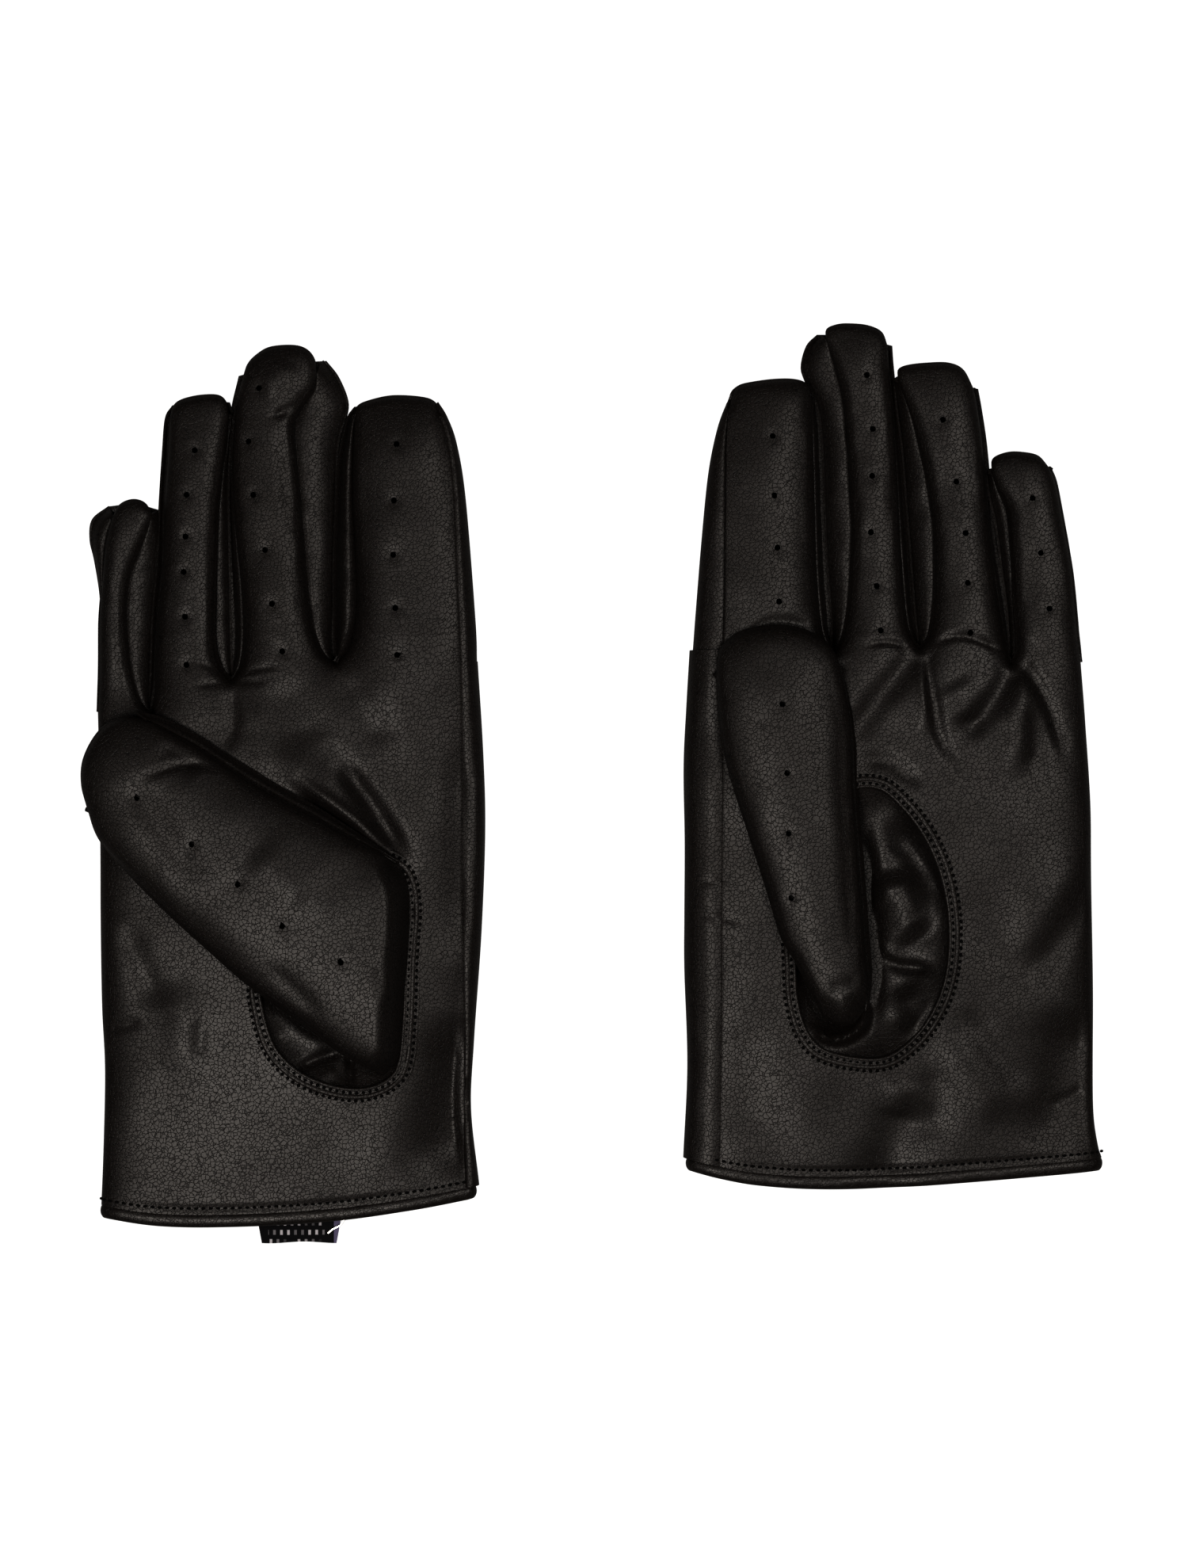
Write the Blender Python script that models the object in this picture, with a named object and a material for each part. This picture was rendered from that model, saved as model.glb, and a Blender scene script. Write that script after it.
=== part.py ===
"""A pair of leather driving gloves, laid side by side on a table with the palms up.

The origin is on the table under the middle of the pair. +Z is up, +Y runs from the cuffs to the
fingertips, and +X runs from the right-hand glove to the left-hand one. Sizes below are in
millimetres, and build_mesh turns them into metres.

Each finger is a flat tube of four pieces: a perforated front, a back, and the narrow side strips
that glovers call fourchettes. A tube is given by rows, each with the two points where its sides
lie. A place on the rim of its cross-section is a number q from 0 to 4: 0 to 1 runs up the rounded
side at high x, 1 to 2 back along the top, 2 to 3 down the other side, and 3 to 4 along the bottom.
"""

import math

import bmesh
import bpy
from mathutils import Matrix, Vector

MM = 0.001
LEATHER = 0.9  # thickness of the leather
CLOTH = 0.5  # thickness of the lining and of the label
GAP = 0.3  # clearance between neighbouring pieces
HAND_HEIGHT = 12.0  # thickness of a glove at the palm, lying flat
FINGER_HEIGHT = 11.0
FINGERTIP_HEIGHT = 2 * LEATHER + GAP  # front and back meet there
THUMB_LEVEL = HAND_HEIGHT + 1.3  # underside of the thumb, which lies on the palm
THUMB_HEIGHT = 8.5
HOLE_RADIUS = 0.9  # the perforations
THUMB_HOLE = (20.5, 38.0)  # half width and half length of the oval hole in the palm
WELT_WIDTH = 3.8  # the band of double stitching round that hole
WELT_HEIGHT = 0.7
BINDING_WIDTH = 3.8
BINDING_THICKNESS = 2.0
LINING_ROWS = 4  # the lining ends short of the fingers, at this row of the palm
FINGERS = ("little", "ring", "middle", "index")

# Rows of a finger: y, and x of its two sides. "hinge" is the y about which the finger curls,
# "holes" the first and last hole and their number.
RIGHT = {
    "index_side": 1,
    "palm": [
        ((-133.1, -114.4), (-32.0, -108.2), 3.4),
        ((-132.8, -76.0), (-34.4, -76.0), 0.0),
        ((-133.3, -36.0), (-32.0, -36.0), 0.0),
        ((-133.6, -8.0), (-30.6, -8.0), 0.0),
        ((-133.8, 18.0), (-31.6, 20.0), 0.0),
        ((-133.8, 44.0), (-32.6, 44.0), 0.0),
    ],
    "seam": 0.80,
    "thumb_hole": (-69.2, -44.0),
    "crotches": [(-119.6, 19.3), (-97.9, 28.2), (-69.7, 32.7)],
    "fingers": {
        "little": {
            "hinge": 27.0,
            "rows": [(20.0, -133.8, -120.2), (44.6, -133.3, -117.9), (63.8, -136.2, -117.2), (68.0, -136.5, -117.4)],
            "tip": 8.4,
            "holes": ((-128.5, 34.0), (-128.0, 62.0), 3),
        },
        "ring": {
            "hinge": 36.0,
            "rows": [(28.0, -118.6, -99.0), (53.0, -117.2, -98.4), (83.0, -115.4, -98.4), (95.0, -114.8, -98.2)],
            "tip": 9.7,
            "holes": ((-110.5, 42.5), (-108.0, 89.7), 4),
        },
        "middle": {
            "hinge": 40.5,
            "rows": [(32.0, -96.7, -70.3), (53.0, -95.8, -70.0), (83.0, -97.2, -69.5), (104.0, -96.1, -67.6)],
            "tip": 13.7,
            "holes": ((-86.5, 48.4), (-92.0, 106.0), 5),
        },
        "index": {
            "hinge": 40.5,
            "rows": [(32.0, -69.2, -32.4), (61.7, -69.0, -33.9), (85.0, -68.2, -36.8), (96.0, -66.2, -39.6)],
            "tip": 8.5,
            "holes": ((-53.3, 47.2), (-53.0, 91.2), 4),
        },
    },
    "thumb_rows": [
        ((-54.6, -77.2), (-50.6, -22.0)),
        ((-67.5, -71.9), (-58.6, -17.6)),
        ((-86.7, -57.8), (-74.6, -8.6)),
        ((-103.7, -43.8), (-90.7, -0.1)),
        ((-119.3, -29.3), (-104.8, 9.0)),
        ((-131.0, -16.5), (-115.7, 15.9)),
    ],
    "thumb_tip": 12.0,
    "thumb_holes": ((-67.4, -47.4), (-121.6, -3.7), 5),
    "thumb_back_row": 2,
    "thumb_hinge": (-49.0, -48.0),
    # The thumb leather that shows inside the hole: the hole's area beyond this line
    "gusset_line": ((-92.0, -49.0), (-52.0, -74.0)),
}
LEFT = {
    "index_side": -1,
    "palm": [
        ((24.7, -100.0), (137.5, -100.4), 4.6),
        ((26.1, -76.0), (135.0, -78.0), 0.0),
        ((25.2, -36.0), (134.2, -30.0), 0.0),
        ((25.1, 4.6), (132.9, 14.0), 0.0),
        ((26.7, 30.0), (130.9, 33.0), 0.0),
        ((27.5, 48.0), (130.0, 48.0), 0.0),
    ],
    "seam": 1.04,
    "thumb_hole": (74.4, -37.0),
    "crotches": [(112.5, 32.5), (87.6, 36.7), (64.4, 35.9)],
    "fingers": {
        "little": {
            "hinge": 40.5,
            "rows": [(33.0, 113.5, 130.8), (53.1, 109.8, 129.1), (72.3, 107.8, 126.1), (80.0, 106.9, 124.8)],
            "tip": 9.4,
            "holes": ((123.8, 47.1), (117.9, 76.8), 3),
        },
        "ring": {
            "hinge": 44.5,
            "rows": [(36.0, 88.7, 111.6), (61.7, 84.6, 106.7), (83.0, 82.9, 105.2), (102.0, 81.7, 103.5)],
            "tip": 11.2,
            "holes": ((100.4, 54.0), (93.8, 97.9), 4),
        },
        "middle": {
            "hinge": 44.5,
            "rows": [
                (36.0, 65.6, 86.5),
                (61.7, 64.1, 82.9),
                (83.0, 62.4, 81.4),
                (97.0, 59.8, 80.6),
                (107.0, 58.2, 79.9),
                (112.0, 56.5, 79.4),
            ],
            "tip": 11.9,
            "holes": ((76.0, 53.2), (73.4, 110.0), 5),
        },
        "index": {
            "hinge": 44.0,
            "rows": [(36.0, 26.8, 63.1), (61.7, 29.0, 62.2), (83.0, 30.9, 61.0), (97.0, 33.9, 58.4)],
            "tip": 12.0,
            "holes": ((49.6, 48.9), (48.0, 93.4), 4),
        },
    },
    "thumb_rows": [
        ((58.6, -59.5), (73.1, -58.0)),
        ((50.3, -40.8), (71.8, -38.4)),
        ((44.7, -23.5), (70.9, -23.5)),
        ((37.3, -0.5), (69.6, -0.5)),
        ((33.7, 16.9), (68.8, 16.9)),
        ((32.8, 29.7), (65.6, 29.7)),
    ],
    "thumb_tip": 12.8,
    "thumb_holes": ((52.6, -30.3), (50.1, 21.2), 4),
    "thumb_back_row": 1,
    "thumb_hinge": (66.0, -62.0),
    "gusset_line": ((67.0, 10.0), (67.0, -90.0)),
}

# The woven size label under the right glove's cuff, and the swing-tag pin through it
LABEL_CORNERS = [(-91.0, -111.5), (-67.6, -111.5), (-67.6, -118.0), (-70.9, -124.1), (-88.7, -124.1), (-91.0, -118.0)]
LABEL_LEVEL = 2.3
PIN_PATH = [
    (-66.6, -113.0, 3.3),
    (-67.1, -117.0, 3.4),
    (-68.6, -119.3, 3.5),
    (-70.8, -120.4, 3.5),
    (-71.9, -121.4, 3.4),
]
PIN_RADIUS = 0.3

COLOURS = {
    "leather": ((0.018, 0.017, 0.016), 0.45, 0.0),
    "lining": ((0.012, 0.012, 0.013), 0.95, 0.0),
    "label": ((0.010, 0.010, 0.014), 0.6, 0.0),
    "steel": ((0.75, 0.74, 0.72), 0.25, 1.0),
}


def material(kind):
    """The named material, made on first use."""
    if kind not in bpy.data.materials:
        colour, roughness, metallic = COLOURS[kind]
        made = bpy.data.materials.new(kind)
        made.use_nodes = True
        shader = made.node_tree.nodes["Principled BSDF"]
        shader.inputs["Base Color"].default_value = (*colour, 1.0)
        shader.inputs["Roughness"].default_value = roughness
        shader.inputs["Metallic"].default_value = metallic
    return bpy.data.materials[kind]


def build_mesh(name, points, faces, kind="leather"):
    """An object from points in millimetres, with its faces turned outwards."""
    mesh = bpy.data.meshes.new(name)
    mesh.from_pydata([Vector(p) * MM for p in points], [], faces)
    work = bmesh.new()
    work.from_mesh(mesh)
    bmesh.ops.recalc_face_normals(work, faces=work.faces)
    work.to_mesh(mesh)
    work.free()
    mesh.materials.append(material(kind))
    obj = bpy.data.objects.new(name, mesh)
    bpy.context.scene.collection.objects.link(obj)
    return obj


def prism(name, outline, low, high, kind="leather"):
    """A flat outline pulled up from one level to another."""
    count = len(outline)
    points = [(x, y, z) for z in (low, high) for x, y in outline]
    sides = [(i, (i + 1) % count, count + (i + 1) % count, count + i) for i in range(count)]
    caps = [tuple(reversed(range(count))), tuple(range(count, 2 * count))]
    return build_mesh(name, points, sides + caps, kind)


def boolean(obj, cutter, operation):
    """Cuts obj with a helper that stays out of the model."""
    cutter.hide_render = True
    cutter.display_type = "WIRE"
    modifier = obj.modifiers.new(operation.lower(), "BOOLEAN")
    modifier.operation = operation
    modifier.object = cutter
    modifier.solver = "EXACT"


def ellipse(centre, half_width, half_length, count=32):
    turn = 2 * math.pi / count
    return [
        (centre[0] + half_width * math.cos(i * turn), centre[1] + half_length * math.sin(i * turn))
        for i in range(count)
    ]


class Section:
    """One cross-section of a tube: a chord from side to side, with a height and a lowest level."""

    def __init__(self, low, high, height, level, sag=0.0):
        self.low = Vector(low)
        self.high = Vector(high)
        self.height = height
        self.level = level
        self.sag = sag  # how far the middle of a cuff's edge lies below its ends, along -Y

    def inset(self, depth, end=0.0):
        """The section that lies depth inside this one, and end further back along the tube."""
        chord = self.high - self.low
        along = chord.normalized()
        back = Vector((along.y, -along.x)) * end
        return Section(
            self.low + along * depth + back,
            self.high - along * depth + back,
            self.height - 2 * depth,
            self.level + depth,
            self.sag,
        )

    def rim(self, q):
        """The point on the rim at q."""
        q %= 4.0
        width = (self.high - self.low).length
        radius = min(self.height, width) / 2
        flat = width - 2 * radius
        part, share = int(q), q - int(q)
        if part % 2:
            across = flat * (1 - share if part == 1 else share) + radius
            up = self.height if part == 1 else 0.0
        else:
            angle = math.radians(-90 + 180 * share + 90 * part)
            across = radius + (flat if part == 0 else 0.0) + radius * math.cos(angle)
            up = self.height / 2 * (1 + math.sin(angle))
        share = across / width
        spot = self.low.lerp(self.high, share)
        return (spot.x, spot.y - 4 * self.sag * share * (1 - share), self.level + up)


def q_values(start, end):
    """Places along the rim from start to end: three steps round a side, four across a flat."""
    values = {start, end}
    for corner in range(math.floor(start), math.ceil(end) + 1):
        steps = 4 if corner % 2 else 3
        values |= {corner + i / steps for i in range(steps)}
    return sorted(v for v in values if start <= v <= end)


def shell(name, outer, inner, rims, kind="leather", closed=False):
    """A solid skin between two lists of sections. rims holds the q values used at each section."""
    width = len(rims[0])
    points = [s.rim(q) for skin in (outer, inner) for s, qs in zip(skin, rims) for q in qs]
    rows = len(outer)

    def at(side, row, column):
        return (side * rows + row) * width + column % width

    columns = width if closed else width - 1
    faces = [
        (at(side, i, j), at(side, i, j + 1), at(side, i + 1, j + 1), at(side, i + 1, j))
        for side in (0, 1)
        for i in range(rows - 1)
        for j in range(columns)
    ]
    for row in (0, rows - 1):
        faces += [(at(0, row, j), at(0, row, j + 1), at(1, row, j + 1), at(1, row, j)) for j in range(columns)]
    if not closed:
        for column in (0, width - 1):
            faces += [
                (at(0, i, column), at(0, i + 1, column), at(1, i + 1, column), at(1, i, column))
                for i in range(rows - 1)
            ]
    return build_mesh(name, points, faces, kind)


def x_at(rows, y, side):
    """Where a finger's side lies at y, on straight lines between its rows."""
    for (y0, *x0), (y1, *x1) in zip(rows, rows[1:]):
        if y <= y1 or y1 == rows[-1][0]:
            return x0[side] + (x1[side] - x0[side]) * (y - y0) / (y1 - y0)
    return rows[0][1 + side]


def rounded_tip(last, direction, length, middle):
    """Sections that close a tube's end, squarish in plan and round from the side."""
    made = []
    for share in (0.45, 0.75, 0.93, 1.0):
        narrow = max(0.34, (1 - share**2.6) ** (1 / 2.6))
        height = max(FINGERTIP_HEIGHT, last.height * math.sqrt(1 - share**2))
        centre = (last.low + last.high) / 2 + direction * length * share
        half = (last.high - last.low) / 2 * narrow
        level = middle - height / 2 + (last.level + last.height / 2 - middle) * (1 - share)
        made.append(Section(centre - half, centre + half, height, level))
    return made


def finger_sections(finger):
    """A finger tube's sections from its hinge to its tip, outside and inside."""
    rows = finger["rows"]
    base = finger["hinge"] + GAP / 2
    body = [(base, x_at(rows, base, 0), x_at(rows, base, 1))] + [r for r in rows if r[0] > base + 1]
    outer = [Section((low, y), (high, y), FINGER_HEIGHT, 0.0) for y, low, high in body]
    below, last = outer[-2], outer[-1]
    direction = ((last.low + last.high) - (below.low + below.high)).normalized()
    outer += rounded_tip(last, direction, finger["tip"], 0.42 * FINGER_HEIGHT)
    inner = [s.inset(LEATHER, LEATHER * i / (len(outer) - 1)) for i, s in enumerate(outer)]
    return outer, inner


def leaf_profile(index, count):
    """The share of a fourchette's full width at a section: it tapers to a point at the tip."""
    share = index / (count - 1)
    return 1.0 if share < 0.4 else max(0.0, math.cos((share - 0.4) / 0.6 * math.pi / 2))


def ranged(start, end, steps):
    return [start + (end - start) * i / steps for i in range(steps + 1)]


def perforate(obj, holes, top):
    """A straight row of round holes through a front piece."""
    first, last, count = holes
    for i in range(count):
        centre = Vector(first).lerp(Vector(last), i / (count - 1))
        punch = prism(f"{obj.name}_punch_{i}", ellipse(centre, HOLE_RADIUS, HOLE_RADIUS, 8), top - 3, top + 3)
        boolean(obj, punch, "DIFFERENCE")


def place(obj, hinge):
    """Hangs obj on its hinge without moving it."""
    obj.data.transform(Matrix.Translation(-hinge.location))
    obj.parent = hinge


def hinge_empty(name, point):
    empty = bpy.data.objects.new(name, None)
    empty.location = Vector(point) * MM
    bpy.context.scene.collection.objects.link(empty)
    return empty


def make_finger(hand, name, glove):
    """A finger's front, back and side strips, hung on its hinge."""
    finger = glove["fingers"][name]
    outer, inner = finger_sections(finger)
    count = len(outer)
    side = glove["index_side"]
    # Side strips lie on the sides that face a neighbour; elsewhere the back wraps up to the front.
    position = FINGERS.index(name)
    neighbours = {-side: FINGERS[position - 1] if position else None}
    neighbours[side] = FINGERS[position + 1] if position < 3 else None
    leaf = [leaf_profile(i, count) for i in range(count)]
    half_leaf, seam = 0.20, 0.03
    front, back, pieces = [], [], []
    for share in leaf:
        reach = half_leaf * share
        high = 0.5 + reach + seam / 2
        low = 2.5 - reach - seam / 2
        front.append([*ranged(high, 1.0, 2), *ranged(2.0, low, 2)])
        under_low = 2.5 + (reach if neighbours[-1] else -reach) + seam / 2
        under_high = 4.5 + (-reach if neighbours[1] else reach) - seam / 2
        back.append([*ranged(under_low, 3.0, 2), *ranged(4.0, under_high, 2)])
    pieces.append(shell(f"{hand}_{name}_front", outer, inner, front))
    pieces.append(shell(f"{hand}_{name}_back", outer, inner, back))
    for facing, neighbour in neighbours.items():
        if not neighbour:
            continue
        middle = 0.5 if facing == 1 else 2.5
        kept = [i for i in range(count) if leaf[i] > 0.3]
        rims = [ranged(middle - half_leaf * leaf[i] + seam, middle + half_leaf * leaf[i] - seam, 3) for i in kept]
        label = "fourchette" if name in ("little", "index") else f"fourchette_{neighbour}_side"
        pieces.append(shell(f"{hand}_{name}_{label}", [outer[i] for i in kept], [inner[i] for i in kept], rims))
    perforate(pieces[0], finger["holes"], FINGER_HEIGHT)
    hinge = hinge_empty(f"{hand}_{name}_hinge", ((outer[0].low.x + outer[0].high.x) / 2, finger["hinge"], HAND_HEIGHT))
    for piece in pieces:
        place(piece, hinge)
    return hinge


def hand_outline(glove):
    """Plan of the hand up to the finger hinges, with a notch at each crotch and room at both sides."""
    order = FINGERS if glove["index_side"] == 1 else FINGERS[::-1]
    crotches = glove["crotches"] if glove["index_side"] == 1 else glove["crotches"][::-1]
    room = 15.0
    first, last = glove["palm"][0][0][0] - room, glove["palm"][0][1][0] + room
    outline = [(first, -150.0), (first, glove["fingers"][order[0]]["hinge"] - GAP / 2)]
    for i, crotch in enumerate(crotches):
        before, after = glove["fingers"][order[i]], glove["fingers"][order[i + 1]]
        y0, y1 = before["hinge"] - GAP / 2, after["hinge"] - GAP / 2
        outline += [(x_at(before["rows"], y0, 1), y0), crotch, (x_at(after["rows"], y1, 0), y1)]
    return [*outline, (last, glove["fingers"][order[-1]]["hinge"] - GAP / 2), (last, -150.0)]


def mirrored_rims(start, end, side):
    """q values from start to end on a glove with its index finger at high x, mirrored on the other."""
    return q_values(start, end) if side == 1 else [3 - q for q in reversed(q_values(start, end))]


def make_crotch(name, before, crotch, after):
    """The small upright wall of leather in the notch between two fingers."""
    low, high = before["hinge"] - 2 * GAP, after["hinge"] - 2 * GAP
    left = x_at(before["rows"], low, 1) - GAP
    right = x_at(after["rows"], high, 0) + GAP
    outline = [
        (left, low),
        (crotch[0], crotch[1] - GAP),
        (right, high),
        (right + LEATHER, high),
        (crotch[0], crotch[1] - GAP - 1.6 * LEATHER),
        (left - LEATHER, low),
    ]
    return prism(name, outline, LEATHER + GAP, HAND_HEIGHT - LEATHER - GAP)


def beyond_line(outline, line):
    """The part of a convex outline to the left of a line."""
    start, end = (Vector(p) for p in line)
    normal = Vector((start.y - end.y, end.x - start.x)).normalized()
    kept = []
    for a, b in zip(outline, [*outline[1:], outline[0]]):
        da, db = ((Vector(p) - start).dot(normal) for p in (a, b))
        if da >= 0:
            kept.append(tuple(a))
        if da * db < 0:
            kept.append(tuple(Vector(a).lerp(Vector(b), da / (da - db))))
    return kept


def make_hand(hand, glove):
    """The palm and back panels, the cuff, the lining and what is sewn round the thumb hole."""
    side = glove["index_side"]
    outer = [Section(low, high, HAND_HEIGHT, 0.0, sag) for low, high, sag in glove["palm"]]
    inner = [s.inset(LEATHER) for s in outer]
    plan = prism(f"{hand}_plan", hand_outline(glove), -5.0, 20.0)
    hole = glove["thumb_hole"]
    opening = prism(f"{hand}_opening", ellipse(hole, *THUMB_HOLE), 7.0, 16.0)

    wrap = mirrored_rims(glove["seam"], 3.04, side)
    palm = shell(f"{hand}_palm_panel", outer, inner, [wrap] * len(outer))
    boolean(palm, plan, "INTERSECT")
    boolean(palm, opening, "DIFFERENCE")
    under = mirrored_rims(3.05, 4.0 + glove["seam"] - 0.03, side)
    back = shell(f"{hand}_back_panel", outer, inner, [under] * len(outer))
    boolean(back, plan, "INTERSECT")

    hem = outer[0]
    down = Vector((0.0, -1.0))
    edge = [
        Section(hem.low + down * d, hem.high + down * d, HAND_HEIGHT, 0.0, hem.sag) for d in (GAP, GAP + BINDING_WIDTH)
    ]
    loop = q_values(0.0, 4.0)[:-1]
    shell(f"{hand}_cuff_binding", edge, [s.inset(BINDING_THICKNESS) for s in edge], [loop] * 2, closed=True)

    sleeve = [s.inset(LEATHER + GAP) for s in outer[:LINING_ROWS]]
    lining = shell(
        f"{hand}_lining", sleeve, [s.inset(CLOTH) for s in sleeve], [loop] * len(sleeve), kind="lining", closed=True
    )
    wide = [r + 2.0 for r in THUMB_HOLE]
    boolean(lining, prism(f"{hand}_lining_opening", ellipse(hole, *wide), 7.0, 16.0), "DIFFERENCE")

    tucked = ellipse(hole, *[r + 1.0 for r in THUMB_HOLE])
    level = HAND_HEIGHT - LEATHER - GAP
    prism(f"{hand}_thumb_gusset", beyond_line(tucked, glove["gusset_line"][::-1]), level - LEATHER, level)
    make_welt(f"{hand}_thumb_welt", hole)

    order = FINGERS if side == 1 else FINGERS[::-1]
    crotches = glove["crotches"] if side == 1 else glove["crotches"][::-1]
    for i, crotch in enumerate(crotches):
        before, after = order[i], order[i + 1]
        pair = sorted((before, after), key=FINGERS.index, reverse=True)
        name = f"{hand}_crotch_{pair[0]}_{pair[1]}"
        make_crotch(name, glove["fingers"][before], crotch, glove["fingers"][after])


def make_welt(name, centre):
    """The raised band of double stitching round the thumb hole."""
    count = 40
    level = HAND_HEIGHT + GAP
    rings = [
        ([r + wide for r in THUMB_HOLE], z)
        for wide, z in (
            (0.0, level),
            (WELT_WIDTH, level),
            (WELT_WIDTH, level + WELT_HEIGHT / 2),
            (WELT_WIDTH / 2, level + WELT_HEIGHT),
            (0.0, level + WELT_HEIGHT / 2),
        )
    ]
    points = [(x, y, z) for radii, z in rings for x, y in ellipse(centre, *radii, count)]
    total = len(rings)
    faces = [
        (
            r * count + i,
            r * count + (i + 1) % count,
            (r + 1) % total * count + (i + 1) % count,
            (r + 1) % total * count + i,
        )
        for r in range(total)
        for i in range(count)
    ]
    return build_mesh(name, points, faces)


def make_thumb(hand, glove):
    """The thumb's perforated front and its back, which is open over the hole in the palm."""
    outer = [Section(low, high, THUMB_HEIGHT, THUMB_LEVEL) for low, high in glove["thumb_rows"]]
    below, last = outer[-2], outer[-1]
    chord = last.high - last.low
    direction = Vector((-chord.y, chord.x)).normalized()
    if direction.dot(last.low - below.low) < 0:
        direction = -direction
    outer += rounded_tip(last, direction, glove["thumb_tip"], THUMB_LEVEL + 0.45 * THUMB_HEIGHT)
    inner = [s.inset(LEATHER, LEATHER * i / (len(outer) - 1)) for i, s in enumerate(outer)]
    split = 0.04
    over = [*ranged(0.5 + split, 1.0, 2), *ranged(2.0, 2.5 - split, 2)]
    under = [*ranged(2.5 + split, 3.0, 2), *ranged(4.0, 4.5 - split, 2)]
    front = shell(f"{hand}_thumb_front", outer, inner, [over] * len(outer))
    start = glove["thumb_back_row"]
    back = shell(f"{hand}_thumb_back", outer[start:], inner[start:], [under] * len(outer[start:]))
    passage = prism(f"{hand}_passage", ellipse(glove["thumb_hole"], *THUMB_HOLE), THUMB_LEVEL - 2, THUMB_LEVEL + 5)
    boolean(back, passage, "DIFFERENCE")
    perforate(front, glove["thumb_holes"], THUMB_LEVEL + THUMB_HEIGHT)
    hinge = hinge_empty(f"{hand}_thumb_hinge", (*glove["thumb_hinge"], THUMB_LEVEL))
    for piece in (front, back):
        place(piece, hinge)
    return hinge


def make_pin():
    """The bent steel wire that holds a swing tag on the label."""
    curve = bpy.data.curves.new("right_tag_pin", "CURVE")
    curve.dimensions = "3D"
    curve.bevel_depth = PIN_RADIUS * MM
    curve.bevel_resolution = 1
    curve.use_fill_caps = True
    spline = curve.splines.new("POLY")
    spline.points.add(len(PIN_PATH) - 1)
    for point, place_mm in zip(spline.points, PIN_PATH):
        point.co = (*(Vector(place_mm) * MM), 1.0)
    pin = bpy.data.objects.new("right_tag_pin", curve)
    curve.materials.append(material("steel"))
    bpy.context.scene.collection.objects.link(pin)


def make_glove(hand, glove):
    """One whole glove. Its fingers and thumb hang on empties at their joints."""
    make_hand(hand, glove)
    for name in FINGERS:
        make_finger(hand, name, glove)
    make_thumb(hand, glove)


def main():
    for obj in list(bpy.data.objects):
        bpy.data.objects.remove(obj)
    make_glove("right", RIGHT)
    make_glove("left", LEFT)
    prism("right_size_label", LABEL_CORNERS, LABEL_LEVEL, LABEL_LEVEL + CLOTH, "label")
    make_pin()


main()
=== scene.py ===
"""A pair of black leather driving gloves lying palm up, sewn piece by piece round the CAD frame.

Sizes are in millimetres until sew() writes them into a mesh. +Y runs to the fingertips.
"""

import math

import bmesh
import bpy
import numpy as np
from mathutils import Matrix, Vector


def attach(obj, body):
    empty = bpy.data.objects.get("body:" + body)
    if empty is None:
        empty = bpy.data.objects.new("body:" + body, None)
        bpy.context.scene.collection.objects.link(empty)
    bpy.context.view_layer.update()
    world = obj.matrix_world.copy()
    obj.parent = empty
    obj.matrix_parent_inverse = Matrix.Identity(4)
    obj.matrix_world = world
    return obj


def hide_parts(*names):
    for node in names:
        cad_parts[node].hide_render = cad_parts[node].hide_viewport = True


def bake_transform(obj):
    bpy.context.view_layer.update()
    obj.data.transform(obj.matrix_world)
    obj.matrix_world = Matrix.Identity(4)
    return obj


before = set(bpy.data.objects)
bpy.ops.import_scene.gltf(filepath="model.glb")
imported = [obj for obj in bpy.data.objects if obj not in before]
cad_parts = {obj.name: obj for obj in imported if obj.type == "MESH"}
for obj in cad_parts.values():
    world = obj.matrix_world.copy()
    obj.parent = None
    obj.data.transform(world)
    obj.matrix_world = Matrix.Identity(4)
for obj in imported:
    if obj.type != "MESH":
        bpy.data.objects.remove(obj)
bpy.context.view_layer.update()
MM = 0.001

# ---------------------------------------------------------------------------------------------
# Black glove leather: a polyurethane-faced split, embossed with a fine grain that cracks into
# cells about a millimetre wide where it bends. It is warm black, satin rather than shiny, and
# the raised grain catches the light in soft speckles.
# ---------------------------------------------------------------------------------------------


def linear(code):
    """An sRGB hex colour as a linear RGBA value."""
    parts = [int(code[i : i + 2], 16) / 255 for i in (1, 3, 5)]
    return (*[p / 12.92 if p <= 0.04045 else ((p + 0.055) / 1.055) ** 2.4 for p in parts], 1.0)


def add(tree, kind, settings=None, links=None):
    """Adds a node. settings holds properties or input values, links holds input: output socket."""
    node = tree.nodes.new(kind)
    for name, value in (settings or {}).items():
        if isinstance(name, str) and hasattr(node, name):
            setattr(node, name, value)
        else:
            node.inputs[name].default_value = value
    for name, socket in (links or {}).items():
        tree.links.new(socket, node.inputs[name])
    return node


def finish_of(name, **sockets):
    """A new material with its Principled shader's own sockets set."""
    made = bpy.data.materials.new(name)
    made.use_nodes = True
    shader = made.node_tree.nodes["Principled BSDF"]
    for socket, value in sockets.items():
        shader.inputs[socket.replace("_", " ")].default_value = value
    return made, made.node_tree, shader


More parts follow.
